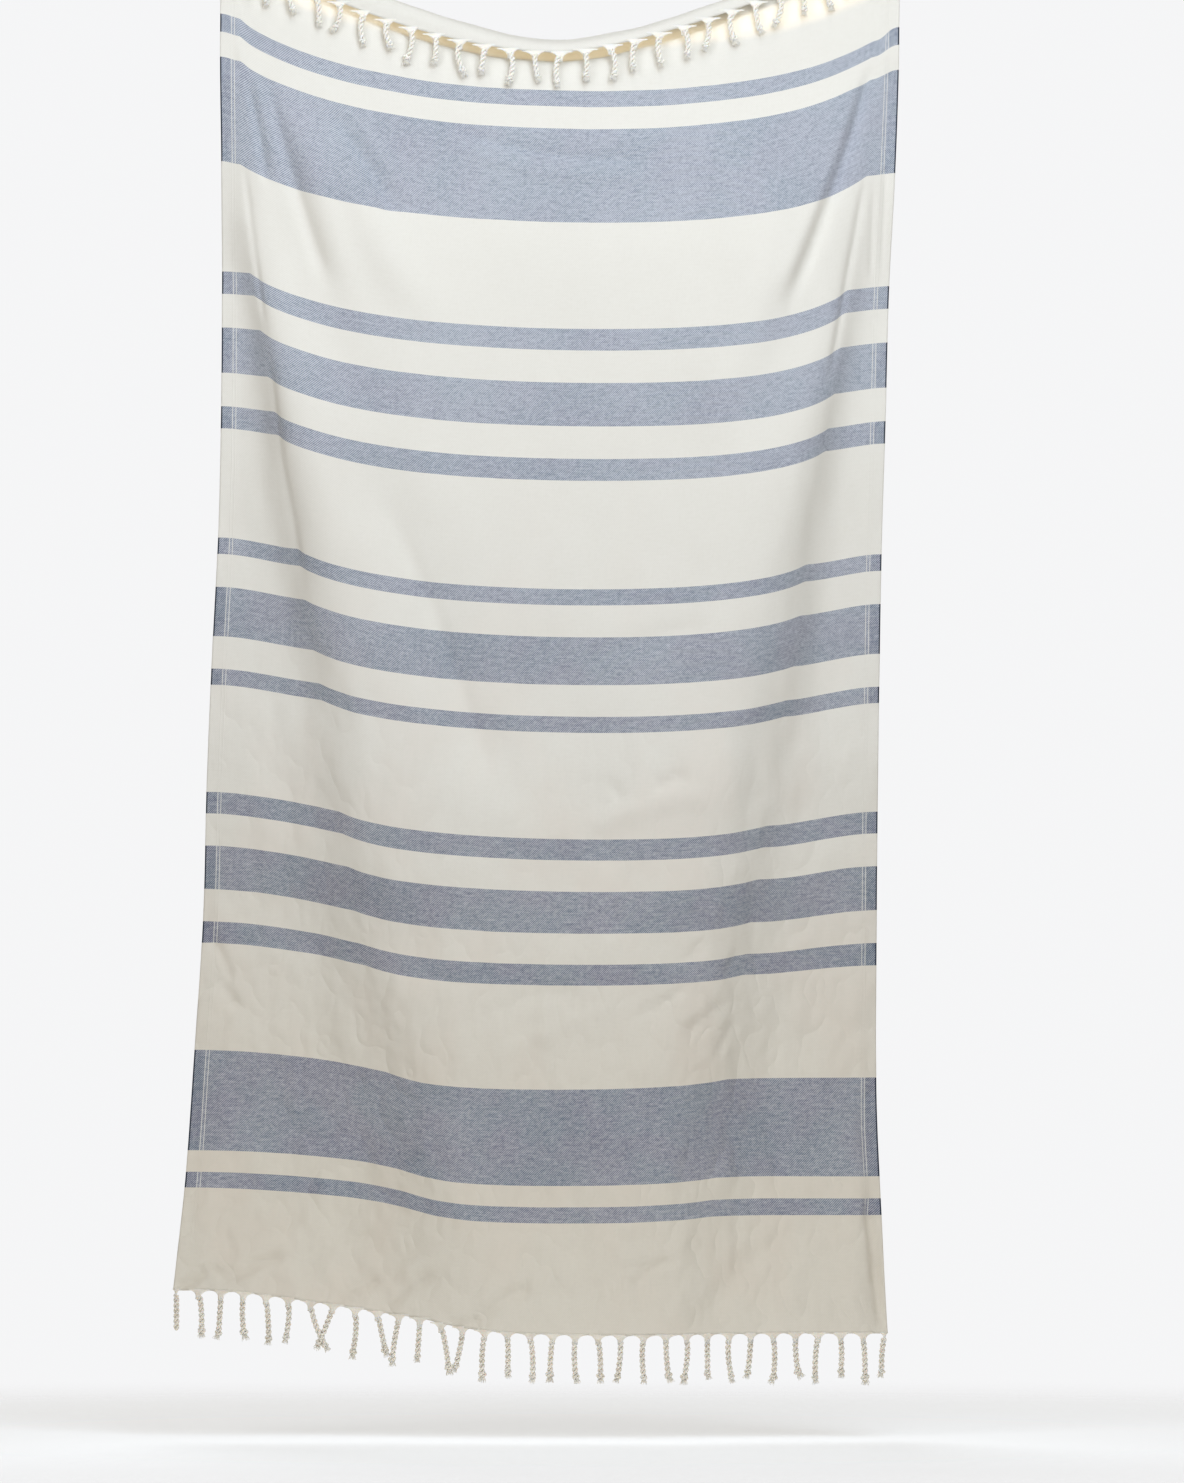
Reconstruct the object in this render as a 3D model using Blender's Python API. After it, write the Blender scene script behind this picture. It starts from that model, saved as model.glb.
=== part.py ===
"""Hammam towel, hung from its two top corners, with its top end folded forward.

One cotton cloth woven in a piece, and a fringe of twisted, knotted warp ends at each hem.
Metres, +Z up, the front facing -Y. The origin is the middle of the top fold.

A place on the cloth is given by two flat distances: across, from the middle (left negative),
and along, down from the top hem. The drape turns them into a point in space.
"""
import math
from collections import namedtuple

import bmesh
import bpy
import numpy as np
from mathutils import Matrix, Vector

# ---------------------------------------------------------------- the cloth, laid flat
CLOTH_WIDTH = 0.965
CLOTH_LENGTH = 1.801
CLOTH_THICKNESS = 0.002
TOP_MARGIN = 0.150           # top hem to the first stripe; the rolled fold lies within it
HALF_WIDTH = CLOTH_WIDTH / 2

# ---------------------------------------------------------------- how it hangs
# At each distance along: both side edges, the height and depth of the middle, and how much
# higher than the middle each side edge hangs.
Level = namedtuple("Level", "along left_x right_x middle_z middle_y left_rise right_rise")
LEVELS = (
    Level(0.000, -0.449, 0.449, 0.000, 0.010, 0.115, 0.097),
    Level(0.150, -0.449, 0.448, -0.076, -0.010, 0.115, 0.097),
    Level(0.201, -0.449, 0.447, -0.126, -0.027, 0.106, 0.089),
    Level(0.329, -0.447, 0.442, -0.248, -0.056, 0.088, 0.074),
    Level(0.471, -0.446, 0.434, -0.388, -0.068, 0.081, 0.064),
    Level(0.640, -0.447, 0.429, -0.559, -0.072, 0.074, 0.055),
    Level(0.805, -0.451, 0.424, -0.727, -0.070, 0.073, 0.051),
    Level(0.974, -0.460, 0.421, -0.896, -0.065, 0.069, 0.045),
    Level(1.139, -0.467, 0.419, -1.061, -0.060, 0.068, 0.042),
    Level(1.308, -0.472, 0.418, -1.224, -0.054, 0.060, 0.031),
    Level(1.472, -0.483, 0.418, -1.384, -0.048, 0.055, 0.018),
    Level(1.651, -0.497, 0.425, -1.564, -0.042, 0.049, 0.013),
    Level(1.801, -0.512, 0.433, -1.712, -0.038, 0.061, 0.003),
)

# How a side's rise is shared out: up to the long fold, at the fold, and the rest in a tail that
# runs out into the body. fold_spread is the width of the step at the fold, tail its length.
Shear = namedtuple("Shear", "along edge_share fold_share fold_spread tail")
LEFT_SHEARS = (
    Shear(0.150, 0.04, 0.05, 0.008, 0.200),
    Shear(0.329, 0.04, 0.02, 0.010, 0.180),
    Shear(0.471, 0.02, 0.02, 0.012, 0.165),
    Shear(0.805, 0.18, 0.03, 0.025, 0.150),
    Shear(1.139, 0.25, 0.20, 0.027, 0.175),
    Shear(1.330, 0.30, 0.34, 0.033, 0.145),
    Shear(1.472, 0.28, 0.47, 0.036, 0.130),
    Shear(1.600, 0.20, 0.58, 0.040, 0.130),
    Shear(1.801, 0.45, 0.30, 0.040, 0.110),
)
RIGHT_SHEARS = (
    Shear(0.150, 0.20, 0.00, 0.030, 0.165),
    Shear(0.201, 0.14, 0.02, 0.032, 0.150),
    Shear(0.329, 0.03, 0.10, 0.036, 0.125),
    Shear(0.471, 0.02, 0.20, 0.040, 0.110),
    Shear(0.805, 0.25, 0.03, 0.040, 0.110),
    Shear(1.139, 0.44, 0.00, 0.015, 0.110),
    Shear(1.330, 0.42, 0.00, 0.015, 0.095),
    Shear(1.472, 0.02, 0.07, 0.020, 0.120),
    Shear(1.801, 0.00, 0.20, 0.040, 0.130),
)

# Folds that step the cloth forward on the way from a side edge to the body. Each runs in from
# its edge at edge_distance, and from knee_along down it slants inwards by slant per metre.
# give_back is the share of the step that the body falls back again, further in.
Step = namedtuple("Step", "name side edge_distance knee_along slant start end width_top width_end strength give_back")
STEPS = (
    Step("left_long_fold", -1, 0.028, 0.40, 0.222, 0.12, 2.20, 0.014, 0.100, 1.00, 0.60),
    Step("left_short_fold", -1, 0.050, 0.15, 0.400, -0.20, 0.44, 0.034, 0.060, 0.90, 0.35),
    Step("right_long_fold", 1, 0.041, 0.335, 0.150, 0.12, 2.20, 0.016, 0.095, 1.00, 0.60),
    Step("right_short_fold", 1, 0.050, 0.15, 0.400, -0.20, 0.50, 0.034, 0.060, 0.90, 0.35),
    Step("right_edge_curl", 1, 0.012, 0.00, 0.004, 1.52, 2.00, 0.012, 0.012, 1.40, 0.00),
)
STEP_FADE = 0.44             # distance along in which a fold sets in or dies out
GIVE_BACK_WIDTH = 4.0        # the body falls back over this many widths of the fold
DEEPEST_STEP = 2.2           # radians

# Soft ridges of the body, straight on the flat cloth, with the slope of their flanks. The slope is
# an angle in radians, seen from above.
Ridge = namedtuple("Ridge", "name across_top along_top across_end along_end width slope")
RIDGES = (
    Ridge("swag_below_hold", -0.300, 0.28, -0.185, 0.46, 0.030, 0.20),
    Ridge("left_valley", -0.234, 0.68, -0.067, 1.08, 0.040, -0.17),
    Ridge("right_body", 0.300, 0.30, 0.215, 1.10, 0.050, 0.14),
    Ridge("lower_body", 0.060, 1.25, 0.170, 1.95, 0.070, 0.12),
)
RIDGE_FADE = 0.12
WEFT_DRAW = 0.045            # share of its width that the hanging cloth has drawn in by
DRAW_LENGTH = 0.60           # distance up from the bottom hem over which that sets in
BODY_CROWN = 0.06            # radians that the body has turned back by at each side edge

# ---------------------------------------------------------------- the fold along the top
FOLD_SAG = 0.142             # the top fold's middle hangs this far below its corners
FOLD_SAG_ROUND = 0.35        # share of the half width over which the sag is round
FLAP_CLEARANCE = 0.006       # the hem hangs this far in front of the cloth behind it
ROLL_OPENING = 0.012         # from the hem down to the underside of the roll
ROLL_PULL = 0.75             # how far up below the roll the cloth hangs straight
BODY_LEAN = 0.32             # radians from upright, between the roll and the first stripe
ROLL_DEPTHS = (0.012, 0.120)

Flap = namedtuple("Flap", "across height")    # how far the hem hangs below the top fold
FLAP_HEIGHTS = (
    Flap(-HALF_WIDTH, 0.025),
    Flap(-0.210, 0.029),
    Flap(0.000, 0.017),
    Flap(0.250, 0.017),
    Flap(HALF_WIDTH, 0.017),
)

# ---------------------------------------------------------------- the mesh of the cloth
COLUMNS = 46
ROLL_ROWS = 17
BODY_ROWS = 40
EDGE_CROWDING = 0.30         # how much closer the columns lie near the side edges
FINE_COLUMNS = 241           # the drape is worked out on this many, then read at the mesh's own
PATH_POINTS = 24             # points on each stretch of the roll's section

# ---------------------------------------------------------------- the fringes
PIECE_GAP = 0.0006           # between a hem and its fringe's strip
STRIP_HEIGHT = 0.003
STRIP_THICKNESS = 0.002
ROOT_HALF_WIDTH = 0.0042     # the warp ends that gather into one strand
ROOT_MARGIN = 0.0045         # from a side edge to the middle of the first root
STATION_SPACING_MIN = 0.002
KNOT_TURN = math.radians(48)  # twist of a strand from one ring to the next

Ring = namedtuple("Ring", "share half_width half_depth")
STRAND_RINGS = (
    Ring(0.10, 0.0036, 0.0022),
    Ring(0.24, 0.0030, 0.0022),
    Ring(0.38, 0.0030, 0.0022),
    Ring(0.52, 0.0030, 0.0022),
    Ring(0.66, 0.0029, 0.0022),
    Ring(0.76, 0.0036, 0.0034),
    Ring(0.85, 0.0035, 0.0033),
    Ring(0.90, 0.0021, 0.0020),
    Ring(1.00, 0.0038, 0.0024),
)

# A strand's length and lean vary from one to the next. Each strand of pairs leans to the next one,
# so that their ends meet. forward is how far the ends hang out in front of their roots.
Fringe = namedtuple("Fringe", "count length length_spread sway forward pairs pair_lean")
TOP_FRINGE = Fringe(29, 0.046, 0.004, 0.005, 0.016, (), 0.0)
BOTTOM_FRINGE = Fringe(33, 0.061, 0.005, 0.004, 0.000, (6, 9, 12), 0.009)
LENGTH_WAVE = 3.3            # radians from strand to strand, out of step with the waves below
LEAN_WAVE = 2.1
CURL_WAVE = 1.7
CURL_SHARE = 0.35            # a strand bows by this share of its sway
LEAN_POWER = 1.4             # it leans more and more towards its end


# ---------------------------------------------------------------- reading the tables
def read_column(rows, column, along):
    """A smooth curve through one column of a table, read at distances given by its first column."""
    knots = np.array([row[0] for row in rows])
    values = np.array([getattr(row, column) for row in rows])
    slopes = np.gradient(values, knots)
    low = np.clip(np.searchsorted(knots, along) - 1, 0, len(knots) - 2)
    gap = knots[low + 1] - knots[low]
    t = np.clip((along - knots[low]) / gap, 0, 1)
    start = (1 + 2 * t) * (1 - t) ** 2 * values[low] + t * (1 - t) ** 2 * gap * slopes[low]
    end = t ** 2 * (3 - 2 * t) * values[low + 1] - t ** 2 * (1 - t) * gap * slopes[low + 1]
    return start + end


def smooth_step(value):
    """0 below 0, 1 above 1 and a smooth rise between."""
    t = np.clip(value, 0, 1)
    return t * t * (3 - 2 * t)


def fade(along, start, end, length):
    """1 between start and end, falling smoothly to 0 outside them."""
    return smooth_step((along - start) / length + 0.5) * smooth_step((end - along) / length + 0.5)


# ---------------------------------------------------------------- the drape
def fold_distance(step, along):
    """How far in from its side edge a fold lies."""
    return step.edge_distance + step.slant * max(along - step.knee_along, 0)


def edge_distance(across, side):
    """Distance in from the left (-1) or right (1) side edge."""
    return HALF_WIDTH - side * across


def side_rise(across, along, side, shears):
    """Share of a side edge's rise that is left at each place across: 1 at the edge, 0 at the middle."""
    long_fold = next(step for step in STEPS if step.side == side)
    fold = fold_distance(long_fold, along)
    edge_share = read_column(shears, "edge_share", along)
    fold_share = read_column(shears, "fold_share", along)
    spread = read_column(shears, "fold_spread", along)
    tail_length = read_column(shears, "tail", along)
    distance = edge_distance(across, side)
    to_fold = edge_share * (1 - smooth_step(distance / fold))
    at_fold = fold_share / (1 + np.exp((distance - fold) / spread))
    reach = np.clip(1 - (distance / CLOTH_WIDTH) ** 2, 0, 1)
    tail = (1 - edge_share - fold_share) * np.exp(-np.clip(distance - fold, 0, None) / tail_length)
    return to_fold + at_fold + tail * reach


def body_height(across, along):
    """Height of the cloth below the roll."""
    left = read_column(LEVELS, "left_rise", along) * side_rise(across, along, -1, LEFT_SHEARS)
    right = read_column(LEVELS, "right_rise", along) * side_rise(across, along, 1, RIGHT_SHEARS)
    return read_column(LEVELS, "middle_z", along) + left + right


def roll_section(across, depth):
    """Section of the rolled fold at each place across, from the hem round to the first stripe.

    Gives depth and height along each section, with the first stripe at depth 0.
    """
    share = np.abs(across) / HALF_WIDTH
    crest = FOLD_SAG * share ** 2 * (1 + FOLD_SAG_ROUND) / (share + FOLD_SAG_ROUND)
    flap = read_column(FLAP_HEIGHTS, "height", across)
    stripe = body_height(across, TOP_MARGIN)
    half_height = (flap + ROLL_OPENING) / 2
    underside = crest - 2 * half_height
    lean = (underside - stripe) * math.tan(BODY_LEAN)
    front = lean - FLAP_CLEARANCE
    # up the flap, over the crest, down the back and forward again along the underside
    turn = np.linspace(0, 1.5 * math.pi, 3 * PATH_POINTS)[None, :]
    roll_y = front[:, None] + depth[:, None] / 2 * (1 - np.cos(turn))
    roll_z = (crest - half_height)[:, None] + half_height[:, None] * np.sin(turn)
    # and down to the first stripe
    start = np.stack([front + depth / 2, underside], axis=1)
    leave = np.stack([lean, underside], axis=1)
    end = np.stack([np.zeros_like(stripe), stripe], axis=1)
    arrive = end + ROLL_PULL * (leave - end)
    t = np.linspace(0, 1, PATH_POINTS)[None, 1:, None]
    corners = (start, leave, arrive, end)
    weights = ((1 - t) ** 3, 3 * t * (1 - t) ** 2, 3 * t ** 2 * (1 - t), t ** 3)
    sweep = sum(corner[:, None, :] * weight for corner, weight in zip(corners, weights))
    hem_z = (crest - flap)[:, None]
    return np.hstack([front[:, None], roll_y, sweep[:, :, 0]]), np.hstack([hem_z, roll_z, sweep[:, :, 1]])


def solve_roll(across):
    """The roll's section where its depth takes up just the cloth between hem and first stripe."""
    low = np.full_like(across, ROLL_DEPTHS[0])
    high = np.full_like(across, ROLL_DEPTHS[1])
    for _ in range(40):
        depth = (low + high) / 2
        y, z = roll_section(across, depth)
        length = np.hypot(np.diff(y, axis=1), np.diff(z, axis=1)).sum(axis=1)
        low = np.where(length < TOP_MARGIN, depth, low)
        high = np.where(length < TOP_MARGIN, high, depth)
    return roll_section(across, (low + high) / 2)


def read_section(y, z, along):
    """Depth and height at one distance from the hem, on every section of the roll."""
    points = []
    for section_y, section_z in zip(y, z):
        steps = np.hypot(np.diff(section_y), np.diff(section_z))
        length = np.concatenate([[0], np.cumsum(steps)]) * TOP_MARGIN / steps.sum()
        points.append((np.interp(along, length, section_y), np.interp(along, length, section_z)))
    return np.array(points).T


def step_angles(across, along, side):
    """Turn of the folds on one side, seen from above, before their depth is solved."""
    total = np.zeros_like(across)
    for step in STEPS:
        if step.side != side:
            continue
        share = min(max(along / CLOTH_LENGTH, 0), 1)
        width = step.width_top + (step.width_end - step.width_top) * share
        offset = (edge_distance(across, side) - fold_distance(step, along)) / width
        back = (offset - GIVE_BACK_WIDTH) / GIVE_BACK_WIDTH
        turn = np.exp(-offset ** 2) - step.give_back / GIVE_BACK_WIDTH * np.exp(-back ** 2)
        total += side * step.strength * fade(along, step.start, step.end, STEP_FADE) * turn
    return total


def body_angles(across, along):
    """Turn of the body's soft ridges and of its crown, seen from above."""
    total = BODY_CROWN * across / HALF_WIDTH
    for ridge in RIDGES:
        share = (along - ridge.along_top) / (ridge.along_end - ridge.along_top)
        middle = ridge.across_top + (ridge.across_end - ridge.across_top) * share
        offset = (across - middle) / ridge.width
        strength = ridge.slope * fade(along, ridge.along_top, ridge.along_end, RIDGE_FADE)
        total += strength * offset * np.exp(0.5 - 0.5 * offset ** 2)
    return total


def plan_row(across, along, height):
    """Places of one row across the cloth, seen from above, as wide as its side edges stand apart.

    The folds at each side are turned just deep enough to take up the spare cloth.
    """
    left_x = read_column(LEVELS, "left_x", along)
    right_x = read_column(LEVELS, "right_x", along)
    middle_x = (left_x + right_x) / 2
    level_share = np.sqrt(np.clip(1 - np.gradient(height, across) ** 2, 0.3, 1))
    drawn = WEFT_DRAW * smooth_step((CLOTH_LENGTH - along) / DRAW_LENGTH)
    spacing = (across[1] - across[0]) * (1 - drawn)
    middle = len(across) // 2
    x = np.zeros_like(across)
    y = np.zeros_like(across)
    for side, reach in ((-1, middle_x - left_x), (1, right_x - middle_x)):
        order = np.arange(middle, -1, -1) if side < 0 else np.arange(middle, len(across))
        steps = step_angles(across, along, side)
        shallow, deep = 0.0, DEEPEST_STEP
        for _ in range(30):
            depth = (shallow + deep) / 2
            angles = body_angles(across, along) + depth * steps
            width = (np.cos(angles) * level_share)[order[1:]].sum() * spacing
            shallow, deep = (depth, deep) if width > reach else (shallow, depth)
        run = np.cos(angles) * level_share * spacing
        rise = np.sin(angles) * level_share * spacing
        x[order[1:]] = side * np.cumsum(run[order[1:]])
        y[order[1:]] = side * np.cumsum(rise[order[1:]])
        x[order] *= reach / abs(x[order[-1]])
    return middle_x + x, y


def drape_rows(alongs):
    """Points of the draped cloth, one row for each distance along, on the fine columns."""
    across = np.linspace(-HALF_WIDTH, HALF_WIDTH, FINE_COLUMNS)
    section_y, section_z = solve_roll(across)
    stripe_height = body_height(across, TOP_MARGIN)
    stripe_depth = read_column(LEVELS, "middle_y", TOP_MARGIN) + plan_row(across, TOP_MARGIN, stripe_height)[1]
    middle = len(across) // 2
    origin_y = stripe_depth[middle] + section_y[middle, np.argmax(section_z[middle])]
    rows = []
    for along in alongs:
        if along < TOP_MARGIN:
            depth, height = read_section(section_y, section_z, along)
            x = plan_row(across, along, height)[0]
            y = stripe_depth + depth
        else:
            height = body_height(across, along)
            x, y = plan_row(across, along, height)
            y = y + read_column(LEVELS, "middle_y", along)
        rows.append(np.stack([x, y - origin_y, height], axis=1))
    return across, np.array(rows)


def mesh_columns():
    """Places across for the mesh's columns, closer together near the side edges."""
    t = np.linspace(-1, 1, COLUMNS + 1)
    return HALF_WIDTH * ((1 + EDGE_CROWDING) * t - EDGE_CROWDING * t ** 3)


def mesh_rows():
    """Distances along for the mesh's rows."""
    roll = np.linspace(0, TOP_MARGIN, ROLL_ROWS, endpoint=False)
    return np.concatenate([roll, np.linspace(TOP_MARGIN, CLOTH_LENGTH, BODY_ROWS + 1)])


def draped_grid(columns, alongs):
    """Points of the draped cloth at each row and column of the mesh."""
    across, rows = drape_rows(alongs)
    grid = [[np.interp(columns, across, row[:, axis]) for axis in range(3)] for row in rows]
    return np.transpose(np.array(grid), (0, 2, 1))


# ---------------------------------------------------------------- objects
def new_material(name, colour, roughness):
    """A plain matt cotton."""
    material = bpy.data.materials.new(name)
    material.use_nodes = True
    shader = material.node_tree.nodes["Principled BSDF"]
    shader.inputs["Base Color"].default_value = (*colour, 1)
    shader.inputs["Roughness"].default_value = roughness
    shader.inputs["Metallic"].default_value = 0
    return material


def add_object(name, mesh, material):
    """Link a finished mesh into the scene."""
    mesh.materials.append(material)
    item = bpy.data.objects.new(name, mesh)
    bpy.context.scene.collection.objects.link(item)
    return item


def make_cloth(grid, material):
    """The woven cloth: its draped middle surface, thickened evenly to both sides."""
    rows, columns = grid.shape[:2]
    faces = []
    for row in range(rows - 1):
        for column in range(columns - 1):
            corner = row * columns + column
            faces.append((corner, corner + columns, corner + columns + 1, corner + 1))
    mesh = bpy.data.meshes.new("towel_cloth")
    mesh.from_pydata(grid.reshape(-1, 3).tolist(), [], faces)
    mesh.shade_smooth()
    cloth = add_object("towel_cloth", mesh, material)
    solid = cloth.modifiers.new("thickness", "SOLIDIFY")
    solid.thickness = CLOTH_THICKNESS
    solid.offset = 0
    return cloth


def row_point(columns, row, across):
    """A point on one row of the cloth's mesh, at one place across."""
    return Vector([float(np.interp(across, columns, row[:, axis])) for axis in range(3)])


def hem_frame(columns, hem, inner, stations, place):
    """At one station on a hem: its point, the ways along the hem and off the cloth, and the normal."""
    point = row_point(columns, hem, stations[place])
    before = row_point(columns, hem, stations[max(place - 1, 0)])
    after = row_point(columns, hem, stations[min(place + 1, len(stations) - 1)])
    sideways = (after - before).normalized()
    off = (point - row_point(columns, inner, stations[place])).normalized()
    normal = sideways.cross(off).normalized()
    return point, sideways, normal.cross(sideways), normal


def fringe_stations(columns, roots):
    """Places across for the strip: both sides of each root, and the hem's own points between them."""
    stations = [root + side * ROOT_HALF_WIDTH for root in roots for side in (-1, 1)]
    for column in columns[1:-1]:
        inside_root = np.abs(roots - column).min() < ROOT_HALF_WIDTH
        crowded = min(abs(column - station) for station in stations) < STATION_SPACING_MIN
        if not inside_root and not crowded:
            stations.append(column)
    return sorted(stations)


def strand_offset(fringe, index, share):
    """How far beside and in front of its root a strand lies, at one share of its length."""
    lean = fringe.sway * math.sin(LEAN_WAVE * index)
    if index in fringe.pairs:
        lean = fringe.pair_lean
    if index - 1 in fringe.pairs:
        lean = -fringe.pair_lean
    curl = CURL_SHARE * fringe.sway * math.sin(CURL_WAVE * index) * math.sin(math.pi * share)
    return lean * share ** LEAN_POWER + curl, fringe.forward * math.sin(0.5 * math.pi * share)


def add_strand(bm, root, frame, fringe, index):
    """One twisted strand with its knot and tuft, grown down from a root's four corners."""
    sideways, front = frame
    centre = sum((vert.co for vert in root), Vector()) / len(root)
    length = fringe.length + fringe.length_spread * math.sin(LENGTH_WAVE * index)
    previous = root
    for number, ring in enumerate(STRAND_RINGS):
        beside, ahead = strand_offset(fringe, index, ring.share)
        place = centre + sideways * beside + front * ahead - Vector((0, 0, length * ring.share))
        turn = Matrix.Rotation(KNOT_TURN * number, 3, "Z")
        wide = turn @ sideways * ring.half_width
        deep = turn @ front * ring.half_depth
        corners = (place - wide + deep, place + wide + deep, place + wide - deep, place - wide - deep)
        verts = [bm.verts.new(corner) for corner in corners]
        for side in range(4):
            after = (side + 1) % 4
            bm.faces.new((previous[side], previous[after], verts[after], verts[side]))
        previous = verts
    bm.faces.new(previous)


def make_fringe(name, fringe, columns, hem, inner, material):
    """A fringe: strands in a row, their roots fused in a narrow strip just below a hem.

    hem is the cloth's row of points there, and inner the row next to it.
    """
    roots = np.linspace(ROOT_MARGIN - HALF_WIDTH, HALF_WIDTH - ROOT_MARGIN, fringe.count)
    stations = fringe_stations(columns, roots)
    bm = bmesh.new()
    sections = []
    frames = []
    for place in range(len(stations)):
        point, sideways, off, normal = hem_frame(columns, hem, inner, stations, place)
        front = normal if normal.y < 0 else -normal
        half = front * STRIP_THICKNESS / 2
        top = point + off * PIECE_GAP
        low = top + off * STRIP_HEIGHT
        sections.append([bm.verts.new(corner) for corner in (top + half, top - half, low - half, low + half)])
        level = Vector((sideways.x, sideways.y, 0)).normalized()
        frames.append((level, Vector((level.y, -level.x, 0))))
    root_starts = {int(np.argmin(np.abs(np.array(stations) - (root - ROOT_HALF_WIDTH)))): index
                   for index, root in enumerate(roots)}
    for place in range(len(stations) - 1):
        left, right = sections[place], sections[place + 1]
        for side in range(4):
            after = (side + 1) % 4
            if side == 2 and place in root_starts:
                continue
            bm.faces.new((left[side], left[after], right[after], right[side]))
        if place in root_starts:
            root = [left[3], right[3], right[2], left[2]]
            add_strand(bm, root, frames[place], fringe, root_starts[place])
    bm.faces.new(sections[0])
    bm.faces.new(sections[-1])
    bmesh.ops.recalc_face_normals(bm, faces=bm.faces)
    mesh = bpy.data.meshes.new(name)
    bm.to_mesh(mesh)
    bm.free()
    return add_object(name, mesh, material)


def main():
    for item in list(bpy.data.objects):
        bpy.data.objects.remove(item, do_unlink=True)
    columns = mesh_columns()
    grid = draped_grid(columns, mesh_rows())
    make_cloth(grid, new_material("woven_cotton", (0.80, 0.78, 0.73), 0.9))
    cord_material = new_material("cotton_cord", (0.84, 0.81, 0.75), 0.85)
    make_fringe("fringe_top", TOP_FRINGE, columns, grid[0], grid[1], cord_material)
    make_fringe("fringe_bottom", BOTTOM_FRINGE, columns, grid[-1], grid[-2], cord_material)


main()
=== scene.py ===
"""Hammam towel, hung from its two top corners, with its top end folded forward over itself.

A cream cotton cloth with blue-grey weft stripes, woven in one piece, and a fringe of two-ply,
knotted warp ends at each hem. Metres, +Z up, the front facing -Y.

A place on the cloth is given by two flat distances: across, from the middle (left negative),
and along, down from the top hem. The drape turns them into a point in space.
"""
import math
from collections import namedtuple

import bmesh
import bpy
import numpy as np
from mathutils import Matrix, Vector, noise


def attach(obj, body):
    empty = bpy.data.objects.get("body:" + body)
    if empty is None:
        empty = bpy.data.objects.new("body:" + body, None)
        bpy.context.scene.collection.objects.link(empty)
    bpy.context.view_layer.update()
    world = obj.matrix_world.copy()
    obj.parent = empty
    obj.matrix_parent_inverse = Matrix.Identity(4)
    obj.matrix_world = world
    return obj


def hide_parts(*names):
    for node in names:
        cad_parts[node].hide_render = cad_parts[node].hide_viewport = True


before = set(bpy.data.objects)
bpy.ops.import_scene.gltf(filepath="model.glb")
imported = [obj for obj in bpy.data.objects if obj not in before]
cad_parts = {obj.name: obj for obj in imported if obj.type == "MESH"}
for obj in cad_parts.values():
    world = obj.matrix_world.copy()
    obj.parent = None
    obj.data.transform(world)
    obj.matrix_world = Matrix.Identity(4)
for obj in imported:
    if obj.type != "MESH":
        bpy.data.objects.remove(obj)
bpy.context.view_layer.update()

# ================================================================ the cloth: its drape
# The towel is one length of cotton, 0.965 by 1.80 m, held up by its two top corners. Between them
# its top end is rolled forward and sags. Its weight draws long folds down from each corner.
CLOTH_WIDTH = 0.965
CLOTH_LENGTH = 1.801
HALF_WIDTH = CLOTH_WIDTH / 2
TOP_MARGIN = 0.150           # top hem to the first stripe; the rolled fold lies within it

# At each distance along: both side edges, the height and depth of the middle, and how much
# higher than the middle each side edge hangs.
Level = namedtuple("Level", "along left_x right_x middle_z middle_y left_rise right_rise")
LEVELS = (
    Level(0.000, -0.449, 0.449, 0.000, 0.010, 0.115, 0.097),
    Level(0.150, -0.449, 0.448, -0.076, -0.010, 0.115, 0.097),
    Level(0.201, -0.449, 0.447, -0.126, -0.027, 0.106, 0.089),
    Level(0.329, -0.447, 0.442, -0.248, -0.056, 0.088, 0.074),
    Level(0.471, -0.446, 0.434, -0.388, -0.068, 0.081, 0.064),
    Level(0.640, -0.447, 0.429, -0.559, -0.072, 0.074, 0.055),
    Level(0.805, -0.451, 0.424, -0.727, -0.070, 0.073, 0.051),
    Level(0.974, -0.460, 0.421, -0.896, -0.065, 0.069, 0.045),
    Level(1.139, -0.467, 0.419, -1.061, -0.060, 0.068, 0.042),
    Level(1.308, -0.472, 0.418, -1.224, -0.054, 0.060, 0.031),
    Level(1.472, -0.483, 0.418, -1.384, -0.048, 0.055, 0.018),
    Level(1.651, -0.497, 0.425, -1.564, -0.042, 0.049, 0.013),
    Level(1.801, -0.512, 0.433, -1.712, -0.038, 0.061, 0.003),
)

# How a side's rise is shared out: up to the long fold, at the fold, and the rest in a tail that
# runs out into the body. fold_spread is the width of the step at the fold, tail its length.
Shear = namedtuple("Shear", "along edge_share fold_share fold_spread tail")
LEFT_SHEARS = (
    Shear(0.150, 0.04, 0.05, 0.008, 0.200),
    Shear(0.329, 0.04, 0.02, 0.010, 0.180),
    Shear(0.471, 0.02, 0.02, 0.012, 0.165),
    Shear(0.805, 0.18, 0.03, 0.025, 0.150),
    Shear(1.139, 0.25, 0.20, 0.027, 0.175),
    Shear(1.330, 0.30, 0.34, 0.033, 0.145),
    Shear(1.472, 0.28, 0.47, 0.036, 0.130),
    Shear(1.600, 0.20, 0.58, 0.040, 0.130),
    Shear(1.801, 0.45, 0.30, 0.040, 0.110),
)
RIGHT_SHEARS = (
    Shear(0.150, 0.20, 0.00, 0.030, 0.165),
    Shear(0.201, 0.14, 0.02, 0.032, 0.150),
    Shear(0.329, 0.03, 0.10, 0.036, 0.125),
    Shear(0.471, 0.02, 0.20, 0.040, 0.110),
    Shear(0.805, 0.25, 0.03, 0.040, 0.110),
    Shear(1.139, 0.44, 0.00, 0.015, 0.110),
    Shear(1.330, 0.42, 0.00, 0.015, 0.095),
    Shear(1.472, 0.02, 0.07, 0.020, 0.120),
    Shear(1.801, 0.00, 0.20, 0.040, 0.130),
)

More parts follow.
